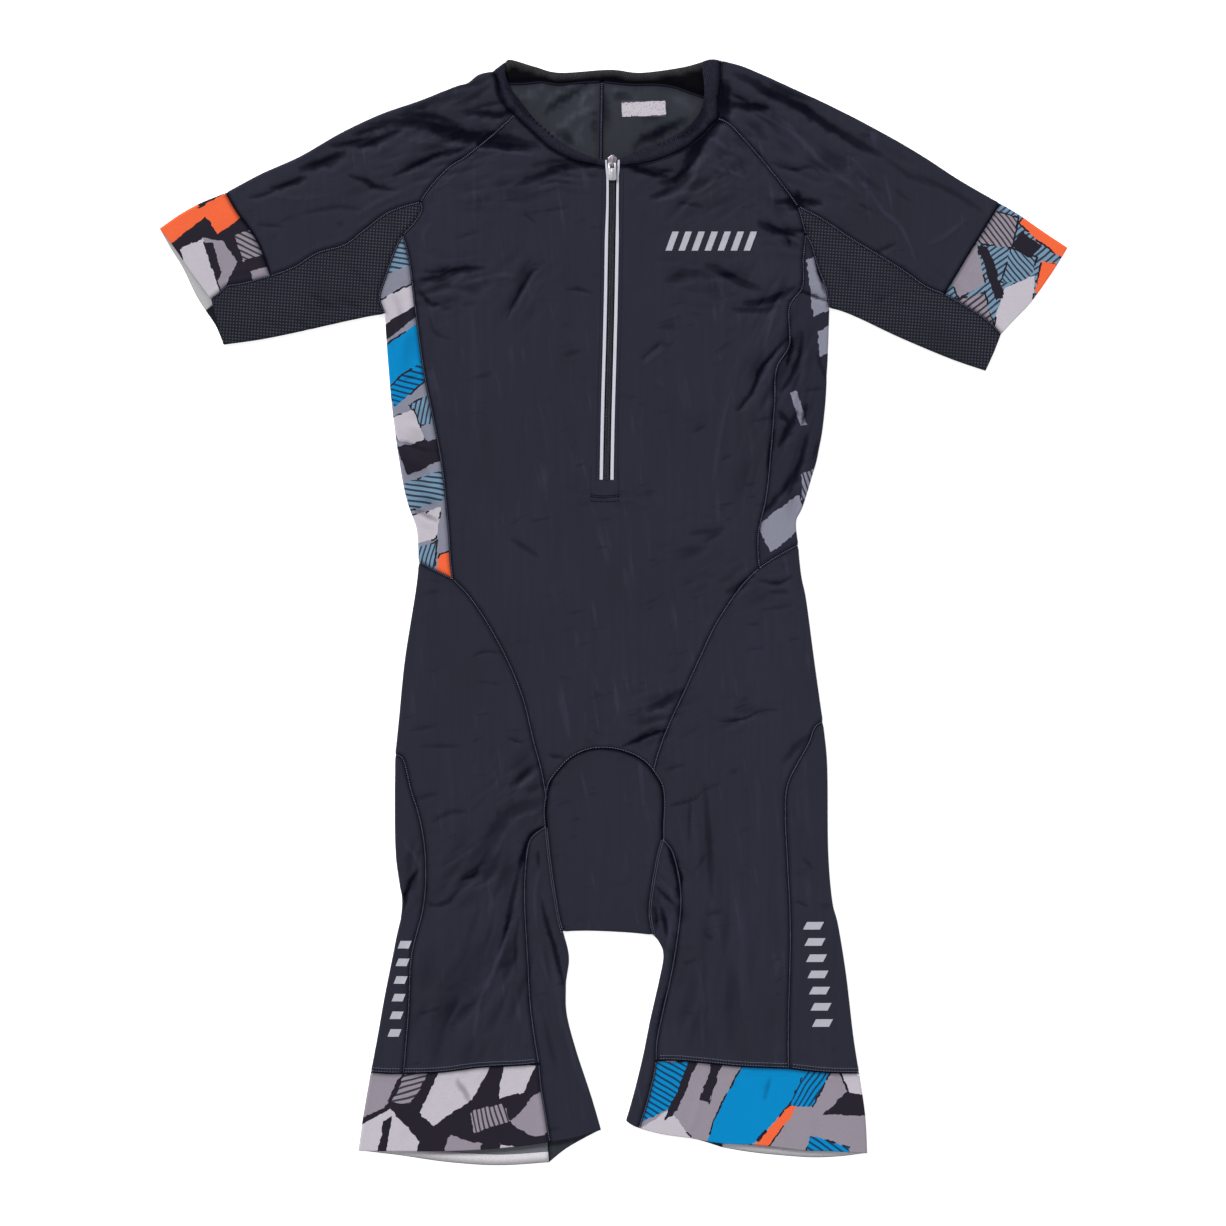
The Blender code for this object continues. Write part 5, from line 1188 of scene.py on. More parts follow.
# Printed panels: turn of the ruled lines in degrees, the ground, then shards laid one over another. Each
# has its tone, the way it is ruled (0 is plain) and its corners on the pattern's sheet
PRINTS = {
    "print_cuff_right": (24, ("dark", 0), (
        ("orange", 0, 140, 232, 196, 202, 210, 214, 162, 252),
        ("orange", 0, 200, 208, 232, 190, 250, 214, 218, 236),
        ("light", 0, 180, 250, 204, 238, 222, 296, 208, 318, 192, 290),
        ("grey", 0, 204, 238, 224, 240, 238, 262, 222, 296),
        ("grey", 1, 234, 236, 262, 226, 272, 254, 244, 262),
        ("dark", 0, 206, 244, 213, 243, 222, 272, 217, 280),
        ("grey", 0, 250, 272, 282, 262, 288, 292, 262, 298),
        ("orange", 0, 190, 298, 206, 304, 206, 322, 192, 312),
    )),
    "print_cuff_left": (-38, ("steel", 1), (
        ("orange", 0, 1034, 200, 1080, 238, 1068, 266, 1018, 224),
        ("grey", 2, 982, 208, 1018, 218, 1012, 248, 970, 244),
        ("grey", 0, 940, 258, 976, 246, 984, 282, 958, 300),
        ("dark", 0, 976, 246, 986, 248, 1004, 296, 996, 300),
        ("steel", 2, 1010, 248, 1036, 258, 1028, 284, 1000, 282),
        ("light", 0, 1004, 288, 1034, 276, 1030, 330, 990, 336),
        ("orange", 0, 1040, 262, 1062, 266, 1044, 306, 1034, 292),
        ("grey", 1, 944, 304, 984, 292, 996, 334, 960, 336),
        ("dark", 0, 1022, 232, 1040, 246, 1030, 258, 1012, 246),
    )),
    "print_side_right": (12, ("slate", 0), (
        ("steel", 1, 380, 234, 424, 234, 420, 262, 384, 278),
        ("light", 0, 376, 302, 426, 280, 424, 302, 378, 330),
        ("dark", 0, 378, 330, 424, 302, 428, 308, 384, 342),
        ("bright", 0, 380, 350, 432, 314, 438, 350, 388, 388),
        ("bright", 1, 388, 388, 438, 350, 444, 368, 394, 408),
        ("steel", 2, 410, 404, 446, 390, 450, 418, 414, 428),
        ("light", 0, 386, 420, 414, 410, 426, 446, 400, 442),
        ("dark", 0, 398, 448, 450, 436, 454, 456, 408, 474),
        ("steel", 1, 402, 484, 462, 464, 460, 494, 410, 510),
        ("light", 0, 408, 516, 442, 506, 436, 538, 414, 544),
        ("bright", 0, 446, 504, 470, 496, 470, 526, 450, 534),
        ("steel", 2, 412, 550, 438, 540, 434, 576, 416, 576),
        ("orange", 0, 440, 554, 466, 546, 466, 584, 434, 584),
    )),
    "print_side_left": (-20, ("plain", 0), (
        ("slate", 0, 806, 262, 846, 236, 846, 304, 812, 320),
        ("slate", 0, 816, 332, 846, 320, 838, 352, 820, 358),
        ("slate", 0, 790, 394, 797, 390, 808, 424, 801, 427),
        ("slate", 2, 800, 474, 828, 462, 818, 502, 800, 500),
        ("slate", 0, 756, 524, 798, 496, 808, 522, 770, 552),
    )),
    "print_hem_right": (-16, ("dark", 0), (
        ("grey", 0, 344, 1064, 406, 1064, 384, 1108, 344, 1126),
        ("light", 0, 340, 1136, 390, 1106, 422, 1140, 412, 1176, 340, 1176),
        ("dark", 0, 384, 1120, 391, 1116, 384, 1156, 376, 1162),
        ("grey", 1, 408, 1064, 434, 1064, 410, 1104, 392, 1100),
        ("light", 0, 442, 1064, 492, 1064, 472, 1100, 434, 1126, 420, 1112),
        ("grey", 0, 434, 1176, 450, 1134, 482, 1142, 478, 1176),
        ("grey", 2, 470, 1112, 502, 1102, 510, 1120, 474, 1132),
        ("light", 0, 502, 1064, 536, 1064, 524, 1092, 498, 1100),
        ("grey", 0, 566, 1078, 566, 1128, 532, 1136, 510, 1120, 532, 1096),
        ("light", 0, 486, 1176, 500, 1142, 542, 1148, 556, 1176),
    )),
    "print_hem_left": (33, ("grey", 0), (
        ("bright", 1, 630, 1060, 692, 1060, 670, 1108, 630, 1126),
        ("light", 0, 630, 1134, 670, 1108, 702, 1150, 694, 1180, 630, 1180),
        ("dark", 0, 690, 1060, 698, 1060, 674, 1114, 665, 1118),
        ("dark", 0, 714, 1060, 723, 1060, 708, 1102, 700, 1098),
        ("bright", 0, 744, 1060, 810, 1060, 788, 1106, 714, 1180, 698, 1180, 712, 1120),
        ("bright", 2, 810, 1060, 838, 1060, 812, 1104, 788, 1106),
        ("orange", 0, 788, 1104, 797, 1105, 742, 1180, 722, 1180),
        ("light", 0, 836, 1060, 884, 1060, 884, 1102, 848, 1092),
        ("dark", 0, 846, 1091, 884, 1102, 884, 1116, 824, 1112),
        ("bright", 1, 796, 1180, 810, 1134, 848, 1146, 846, 1180),
    )),
}


# Ruled lines are charcoal but on these tones
RULING = {"dark": "steel", "bright": "navy", "plain": "plain"}


class Shards:
    """Shards laid one over another: which of them shows at each point, and where its border runs."""

    BORDER = 0.0009

    def __init__(self, graph, field, rows):
        self.graph = graph
        self.order = 0.5 / len(rows)
        self.border = 0.0
        for index, (_, _, *corners) in enumerate(rows):
            if not corners:
                continue
            within = self.within(field, places(corners))
            self.order = Level(graph, graph.node("ShaderNodeMix", {"data_type": "FLOAT"}, {
                0: within > 0.0, 2: self.order, 3: (index + 0.5) / len(rows)}).outputs[0])
            below = (within < -self.BORDER) * self.border
            self.border = below.highest(within.absolute() < self.BORDER)

    def within(self, field, corners):
        """How far inside a shard's nearest edge a point lies."""
        middle = sum(corners) / len(corners)
        least = None
        for one, two in zip(corners, corners[1:] + corners[:1]):
            side = np.array((one[1] - two[1], two[0] - one[0]))
            side /= math.hypot(*side)
            side *= math.copysign(1.0, (middle - one) @ side)
            away = Level(self.graph, self.graph.node("ShaderNodeVectorMath", {"operation": "DOT_PRODUCT"}, {
                0: field, 1: (side[0], side[1], 0.0)}).outputs["Value"]) - float(one @ side)
            least = away if least is None else least.lowest(away)
        return least

    def ramp(self, tones):
        """One flat colour for each shard."""
        made = self.graph.node("ShaderNodeValToRGB", None, {0: self.order})
        made.color_ramp.interpolation = "CONSTANT"
        stops = made.color_ramp.elements
        for index, tone in enumerate(tones):
            stop = stops[index] if index < 2 else stops.new(index / len(tones))
            stop.position = index / len(tones)
            stop.color = (*tone, 1.0)
        return made.outputs[0]


def print_finish(name):
    """Geometric shards in flat tones, some of them ruled, with broken dark borders."""
    turn, ground, rows = PRINTS[name]
    rows = (ground, *rows)
    graph = Graph(name, tint("grey"), 0.6, **COOL)
    shards = Shards(graph, graph.torn(graph.torn(graph.place(), 28.0, 0.006), 190.0, 0.0034), rows)
    colours = shards.ramp([tint(row[0]) for row in rows])
    lines = shards.ramp([tint(RULING.get(row[0], "dark")) for row in rows])
    ways = graph.axes(shards.ramp([(float(row[1] == 1), float(row[1] == 2), 0.0) for row in rows]))
    x, y, _ = graph.axes(graph.torn(graph.place(turn), 14.0, 0.012))
    one = ((y * (math.tau / RULED_ACROSS)).sine() > 0.35) * (ways[0] > 0.5)
    two = ((x * (math.tau / RULED_ALONG)).sine() > 0.35) * (ways[1] > 0.5)
    colours = graph.mix((one + two) * 0.9, colours, lines)
    patches = graph.grain(graph.place(), 60.0, 1.0)
    border = (patches > 0.47) * shards.border
    colours = graph.mix(border, colours, tint("plain" if name == "print_side_left" else "dark"))
    weave = graph.grain(graph.place(), 1400.0, 1.0)
    colours = graph.mix(1.0, colours, graph.mix(weave, (0.78, 0.78, 0.78), (1.12, 1.12, 1.12)), "MULTIPLY")
    # Painted shade beside seams and in troughs, over the print
    painted_shade = (0.75 * graph.value("seam_shade") + 0.92 * graph.value("trough_shade")).clamped()
    return graph.done(graph.mix(painted_shade, colours, tint("deep")), graph.bump(weave, 0.25, 0.0003))


def dotted_finish(name, colour_name, low, high):
    """Pale cloth or grip with fine beads of another tone."""
    base = tint(colour_name)
    graph = Graph(name, base, 0.7)
    beads = graph.grain(graph.place(), 900.0, 1.0)
    level = ((beads - 0.38) * 4.0).clamped()
    return graph.done(graph.mix(level, shade(base, low), shade(base, high)), graph.bump(beads, 0.4, 0.0005))


def band_finish(name, colour_name, shade_tone_name, depth):
    """Ribbed neck band, with the tone of its painted shade and how strongly it shows."""
    base = tint(colour_name)
    graph = Graph(name, base, 0.7, **COOL)
    x, y, _ = graph.axes(graph.place())
    ribs = ((x + 0.35 * y) * (math.tau / BAND_RIB)).sine()
    worn = graph.grain(graph.place(), 420.0, 2.0)
    tone = graph.mix(ribs * 0.3 + (worn - 0.5) * 1.6 + 0.5, shade(base, 0.7), shade(base, 1.5))
    # Painted shade beside seams and in troughs; on the turned band also its painted shadow
    painted_shade = (graph.value("seam_shade") * 0.9 + graph.value("trough_shade") * depth).clamped()
    return graph.done(graph.mix(painted_shade, tone, tint(shade_tone_name)), graph.bump(ribs, 0.5, 0.0005))


def thread_finish(name, colour_name):
    base = tint(colour_name)
    graph = Graph(name, base, 0.6, **COOL)
    twist = graph.grain(graph.place(), 1600.0, 1.0)
    return graph.done(graph.mix(twist, shade(base, 0.7), shade(base, 1.35)))


def reflective_finish(name):
    """Glass-bead print: pale grey with a soft metallic glow."""
    base = tint(name)
    graph = Graph(f"{name}_print", base, 0.38, 0.25)
    beads = graph.grain(graph.place(), 1900.0, 1.0)
    return graph.done(graph.mix(beads, shade(base, 0.86), shade(base, 1.12)), graph.bump(beads, 0.2, 0.0002))


def tape_finish():
    base = tint("tape")
    graph = Graph("zip_tape_weave", base, 0.6)
    x, y, _ = graph.axes(graph.place())
    weave = (x * (math.tau / TAPE_WARP)).sine() * (y * (math.tau / TAPE_WEFT)).sine()
    return graph.done(graph.mix(weave * 0.5 + 0.5, shade(base, 0.7), shade(base, 1.35)),
                      graph.bump(weave, 0.4, 0.0003))


def coil_finish():
    graph = Graph("zip_coil_nylon", tint("tape"), 0.35, **{"Coat Weight": 0.2})
    wear = graph.grain(graph.place(), 600.0, 2.0)
    return graph.done(roughness=0.28 + wear * 0.2)


def metal_finish(name):
    base = tint(name)
    graph = Graph(f"zip_{name}", base, 0.3, 0.8)
    wear = graph.grain(graph.place(), 900.0, 3.0)
    return graph.done(graph.mix(wear, shade(base, 0.92), shade(base, 1.07)), roughness=0.18 + wear * 0.28)


# The printed part of the neck label: its turn in degrees, middle on the sheet and half size in metres
LABEL_TURN = -3.0
LABEL_MIDDLE = (643.6, 109.2)
LABEL_HALF = (0.0217, 0.0071)


def label_finish():
    """Heat-pressed blank label whose edge has cracked away."""
    base = tint("light")
    graph = Graph("blank_label", base, 0.55)
    x, y, _ = graph.axes(graph.torn(graph.place(LABEL_TURN), 260.0, 0.0028))
    across, up = place(*LABEL_MIDDLE)
    c, s = math.cos(math.radians(LABEL_TURN)), math.sin(math.radians(LABEL_TURN))
    over = (x - float(across * c - up * s)).absolute() - LABEL_HALF[0]
    beyond = over.highest((y - float(across * s + up * c)).absolute() - LABEL_HALF[1]) > 0.0
    worn = beyond.highest(graph.grain(graph.place(), 900.0, 2.0) < 0.36)
    return graph.done(graph.mix(worn, base, shade(tint("inside"), 1.1)))


def floor_finish():
    graph = Graph("pale_floor", (0.92, 0.92, 0.92), 0.9, **{
        "Specular IOR Level": 0.1, "Emission Strength": 0.62, "Emission Color": (1.0, 1.0, 1.0, 1.0)})
    grain = graph.grain(graph.place(), 2.0, 2.0)
    return graph.done(graph.mix(grain, (0.91, 0.91, 0.91), (0.93, 0.93, 0.93)))


# What makes each finish, and what it is given
FINISHES = {
    "cloth": (knit_finish, "stretch_cloth", "cloth", 0.50),
    "inside": (knit_finish, "stretch_cloth_inside", "inside", 0.72, 0.35, 2.2, 2.4),
    "mesh": (mesh_finish,),
    "mesh_inside": (knit_finish, "underarm_mesh_inside", "mesh", 0.75, 0.3),
    "pale": (dotted_finish, "print_inside", "lining", 0.82, 1.25),
    "cuff_inside": (dotted_finish, "cuff_inside", "cuff_lining", 0.88, 1.08),
    "grip": (dotted_finish, "hem_grip", "pale", 0.9, 1.05),
    "band": (band_finish, "ribbed_band", "band", "deep", 0.8),
    "band_inside": (band_finish, "ribbed_band_inside", "band_turned", "shadow", 0.96),
    "cord": (thread_finish, "seam_cord", "thread"),
    "dark_stitch": (thread_finish, "dark_stitch_thread", "deep"),
    "stitch": (thread_finish, "stitch_thread", "stitch"),
    "bed": (thread_finish, "zip_bed", "bed"),
    "reflective": (reflective_finish, "reflective"),
    "zip_line": (reflective_finish, "zip_line"),
    "tape": (tape_finish,),
    "coil": (coil_finish,),
    "metal": (metal_finish, "metal"),
    "slider": (metal_finish, "slider"),
    "label": (label_finish,),
    "floor": (floor_finish,),
    **{name: (print_finish, name) for name in PRINTS},
}


# ---------------------------------------------------------------- sewing and zip helpers
def path_over(suit, flat, lift):
    """A flat path laid on the front layer's outer face, raised by lift."""
    z, _ = suit.surface.front(flat)
    return np.column_stack((flat, z + settings("cut").wall / 2 + lift))


def shifted(flat, distance):
    """A flat path moved sideways to its left."""
    way = np.gradient(flat, axis=0)
    normal = np.column_stack((-way[:, 1], way[:, 0]))
    normal /= np.linalg.norm(normal, axis=1)[:, None]
    return flat + normal * np.reshape(distance, (-1, 1))


def tube(mesh, path, width, height, sides=8):
    """A closed flattened tube along a path."""
    way = np.gradient(path, axis=0)
    side = np.column_stack((-way[:, 1], way[:, 0], np.zeros(len(way))))
    side /= np.linalg.norm(side, axis=1)[:, None]
    rings = []
    for k in range(sides):
        turn = math.tau * k / sides
        ring = path + side * (width / 2 * math.cos(turn))
        ring[:, 2] += height / 2 * math.sin(turn)
        rings.append(ring)
    faces = []
    for a in range(0, (len(path) - 1) * sides, sides):
        for k in range(sides):
            j = (k + 1) % sides
            faces.append((a + sides + k, a + sides + j, a + j, a + k))
    last = (len(path) - 1) * sides
    faces.append(tuple(range(sides)))
    faces.append(tuple(range(last + sides - 1, last - 1, -1)))
    mesh.add(np.stack(rings, axis=1).reshape(-1, 3), faces)


def ribbon(mesh, suit, flat, left, right, lift):
    """A strip along a flat path, between two distances to its right."""
    a = path_over(suit, shifted(flat, -left), lift)
    b = path_over(suit, shifted(flat, -right), lift)
    count = len(flat)
    mesh.add(np.vstack((a, b)), [(i, count + i, count + i + 1, i + 1) for i in range(count - 1)])


def edge_object(name, paths):
    """An object of bare edges that a node tree follows."""
    edges = []
    start = 0
    for path in paths:
        edges += [(start + i, start + i + 1) for i in range(len(path) - 1)]
        start += len(path)
    data = bpy.data.meshes.new(name)
    data.from_pydata(np.vstack(paths).tolist(), edges, [])
    return link_new(name, data)


def stitch_tree(name, material, across):
    """Rounded stitches spaced along edges, lying along them or across them."""
    group = bpy.data.node_groups.new(name, "GeometryNodeTree")
    face = group.interface
    face.new_socket("Geometry", in_out="INPUT", socket_type="NodeSocketGeometry")
    for label, default in (("Pitch", 0.003), ("Length", 0.002), ("Thickness", 0.0005)):
        face.new_socket(label, in_out="INPUT", socket_type="NodeSocketFloat").default_value = default
    face.new_socket("Geometry", in_out="OUTPUT", socket_type="NodeSocketGeometry")
    add = Nodes(group).node
    given = add("NodeGroupInput").outputs
    curve = add("GeometryNodeMeshToCurve", None, {"Mesh": given["Geometry"]})
    spaced = add("GeometryNodeResampleCurve", {"mode": "LENGTH"},
                 {"Curve": curve.outputs[0], "Length": given["Pitch"]})
    ball = add("GeometryNodeMeshUVSphere", None, {"Segments": 5, "Rings": 4, "Radius": 0.5})
    laid = add("GeometryNodeTransform", None,
               {"Geometry": ball.outputs["Mesh"], "Rotation": (0.0, math.pi / 2, 0.0)})
    turn = add("FunctionNodeAlignRotationToVector", {"axis": "Y" if across else "X"},
               {"Vector": add("GeometryNodeInputTangent").outputs[0]})
    size = add("ShaderNodeCombineXYZ", None,
               {0: given["Length"], 1: given["Thickness"], 2: given["Thickness"]})
    put = add("GeometryNodeInstanceOnPoints", None,
              {"Points": spaced.outputs[0], "Instance": laid.outputs["Geometry"],
               "Rotation": turn.outputs[0], "Scale": size.outputs[0]})
    real = add("GeometryNodeRealizeInstances", None, {0: put.outputs[0]})
    paint = add("GeometryNodeSetMaterial", None, {"Geometry": real.outputs[0], "Material": material})
    add("NodeGroupOutput", None, {0: paint.outputs[0]})
    return group


def sew(name, paths, finish, across, pitch, length, thickness):
    """Runs the stitch tree over paths and keeps its result as a plain mesh."""
    material = Suit.get().finish(finish)
    guide = edge_object(name + "_guide", paths)
    modifier = guide.modifiers.new("Stitches", "NODES")
    modifier.node_group = stitch_tree(name, material, across)
    sizes = {"Pitch": pitch, "Length": length, "Thickness": thickness}
    for item in modifier.node_group.interface.items_tree:
        if item.in_out == "INPUT" and item.name in sizes:
            modifier[item.identifier] = sizes[item.name]
    bpy.context.view_layer.update()
    shown = guide.evaluated_get(bpy.context.evaluated_depsgraph_get())
    data = bpy.data.meshes.new_from_object(shown)
    data.name = name
    if not data.materials:
        data.materials.append(material)
    smooth_faces(data)
    guide.modifiers.remove(modifier)
    bpy.data.objects.remove(guide, do_unlink=True)
    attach(link_new(name, data), GARMENT)


def simple_piece(mesh, name, finish, wall=0.0, rounded=True):
    """A piece of the garment from its gathered mesh, with a wall where it needs one."""
    piece = mesh.to_object(name, [Suit.get().finish(finish)])
    if not rounded:
        smooth_faces(piece.data, False)
    if wall:
        give_wall(piece, wall, 0)
    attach(piece, GARMENT)
    return piece


def metal_copy(node, name, finish, body):
    """A CAD solid copied, cleaned of its loose triangles and given rounded edges."""
    form = bmesh.new()
    form.from_mesh(bpy.data.objects[node].data)
    bmesh.ops.remove_doubles(form, verts=form.verts, dist=1e-6)
    bmesh.ops.dissolve_limit(form, angle_limit=math.radians(2.0), verts=form.verts, edges=form.edges)
    data = bpy.data.meshes.new(name)
    form.to_mesh(data)
    form.free()
    data.materials.append(Suit.get().finish(finish))
    smooth_faces(data)
    piece = link_new(name, data)
    bevel = piece.modifiers.new("Edges", "BEVEL")
    bevel.width = settings("sewing").bevel
    bevel.segments = 2
    bevel.limit_method = "ANGLE"
    bevel.angle_limit = math.radians(30.0)
    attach(piece, body)
    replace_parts(piece, node)


def studio_world(stage):
    """Even light that is brightest low down and dimmest overhead, like a tent of white cloth."""
    world = bpy.data.worlds.new("studio")
    world.use_nodes = True
    nodes = Nodes(world.node_tree)
    way = nodes.node("ShaderNodeTexCoord").outputs["Generated"]
    split = nodes.node("ShaderNodeSeparateXYZ", None, {0: way})
    ramp = nodes.node("ShaderNodeValToRGB", None, {0: split.outputs[2]})
    for element, position, level in zip(ramp.color_ramp.elements, (0.25, 0.95), (stage.sky, stage.zenith)):
        element.position = position
        element.color = (level, level, level, 1.0)
    nodes.tree.links.new(ramp.outputs[0], nodes.tree.nodes["Background"].inputs[0])
    return world


# ---------------------------------------------------------------- operators
BACKS = ("back_right_cloth", "back_left_cloth")


class SUIT_OT_backs(bpy.types.Operator):
    """Make the two halves of the back"""

    bl_idname = "suit.backs"
    bl_label = "Back"

    def execute(self, context):
        Suit.get().pair("back", "cloth", "inside")
        return {"FINISHED"}


class SUIT_OT_front(bpy.types.Operator):
    """Make the front, cut in one piece round the zip"""

    bl_idname = "suit.front"
    bl_label = "Front"

    def execute(self, context):
        Suit.get().sheet("front_body", [FRONT_BODY], [], "cloth", "inside", rests_on=BACKS)
        return {"FINISHED"}


class SUIT_OT_side_panels(bpy.types.Operator):
    """Make the printed side panels"""

    bl_idname = "suit.side_panels"
    bl_label = "Side panels"

    def execute(self, context):
        Suit.get().pair("side_panel", "print_side", "pale")
        return {"FINISHED"}


class SUIT_OT_sleeves(bpy.types.Operator):
    """Make the raglan sleeves"""

    bl_idname = "suit.sleeves"
    bl_label = "Sleeves"

    def execute(self, context):
        Suit.get().pair("sleeve", "cloth", "inside")
        return {"FINISHED"}


class SUIT_OT_underarms(bpy.types.Operator):
    """Make the mesh panels under the arms"""

    bl_idname = "suit.underarms"
    bl_label = "Underarm mesh"

    def execute(self, context):
        Suit.get().pair("underarm", "mesh", "mesh_inside")
        return {"FINISHED"}


class SUIT_OT_cuffs(bpy.types.Operator):
    """Make the printed cuffs"""

    bl_idname = "suit.cuffs"
    bl_label = "Cuffs"

    def execute(self, context):
        Suit.get().pair("cuff", "print_cuff", "cuff_inside")
        return {"FINISHED"}


class SUIT_OT_legs(bpy.types.Operator):
    """Make the leg panels, front and seat in one"""

    bl_idname = "suit.legs"
    bl_label = "Legs"

    def execute(self, context):
        Suit.get().pair("leg", "cloth", "inside")
        return {"FINISHED"}


class SUIT_OT_thighs(bpy.types.Operator):
    """Make the outer and inner thigh panels"""

    bl_idname = "suit.thighs"
    bl_label = "Thigh panels"

    def execute(self, context):
        Suit.get().pair("outer_thigh", "cloth", "inside")
        Suit.get().pair("inner_thigh", "cloth", "inside")
        return {"FINISHED"}


class SUIT_OT_hem_bands(bpy.types.Operator):
    """Make the printed bands at the leg hems"""

    bl_idname = "suit.hem_bands"
    bl_label = "Hem bands"

    # Where the grip inside a hem begins and ends, in metres from the edge
    GRIP = (0.0006, 0.0106)

    def execute(self, context):
        suit = Suit.get()
        suit.pair("hem_band", "print_hem", "pale")
        for (side, word), sign in zip(SIDES, (1.0, -1.0)):
            flat = even(suit.pattern.lines["back_hem_edge" + side].points, 0.004)
            rows = np.vstack([shifted(flat, sign * distance) for distance in self.GRIP])
            grip = Mesh()
            grip.add(np.column_stack((rows, np.full(len(rows), settings("cut").wall + 0.0002))),
                     grid_faces(2, len(flat)))
            simple_piece(grip, f"grip_{word}", "grip", wall=0.0003)
        return {"FINISHED"}


class SUIT_OT_crotch(bpy.types.Operator):
    """Make the smooth crotch panel"""

    bl_idname = "suit.crotch"
    bl_label = "Crotch panel"

    def execute(self, context):
        Suit.get().sheet("crotch_panel", [CROTCH_FRONT], [CROTCH_BACK], "cloth", "inside", calm=0.8)
        return {"FINISHED"}


class SUIT_OT_neck_band(bpy.types.Operator):
    """Make the ribbed neck band"""

    bl_idname = "suit.neck_band"
    bl_label = "Neck band"

    def execute(self, context):
        fronts = [[name + side for name in BAND_FRONT] for side, _ in SIDES]
        Suit.get().sheet("neck_band", fronts, [BAND_BACK], "band", "band_inside", settings("cut").band_wall,
                         strip=True)
        return {"FINISHED"}


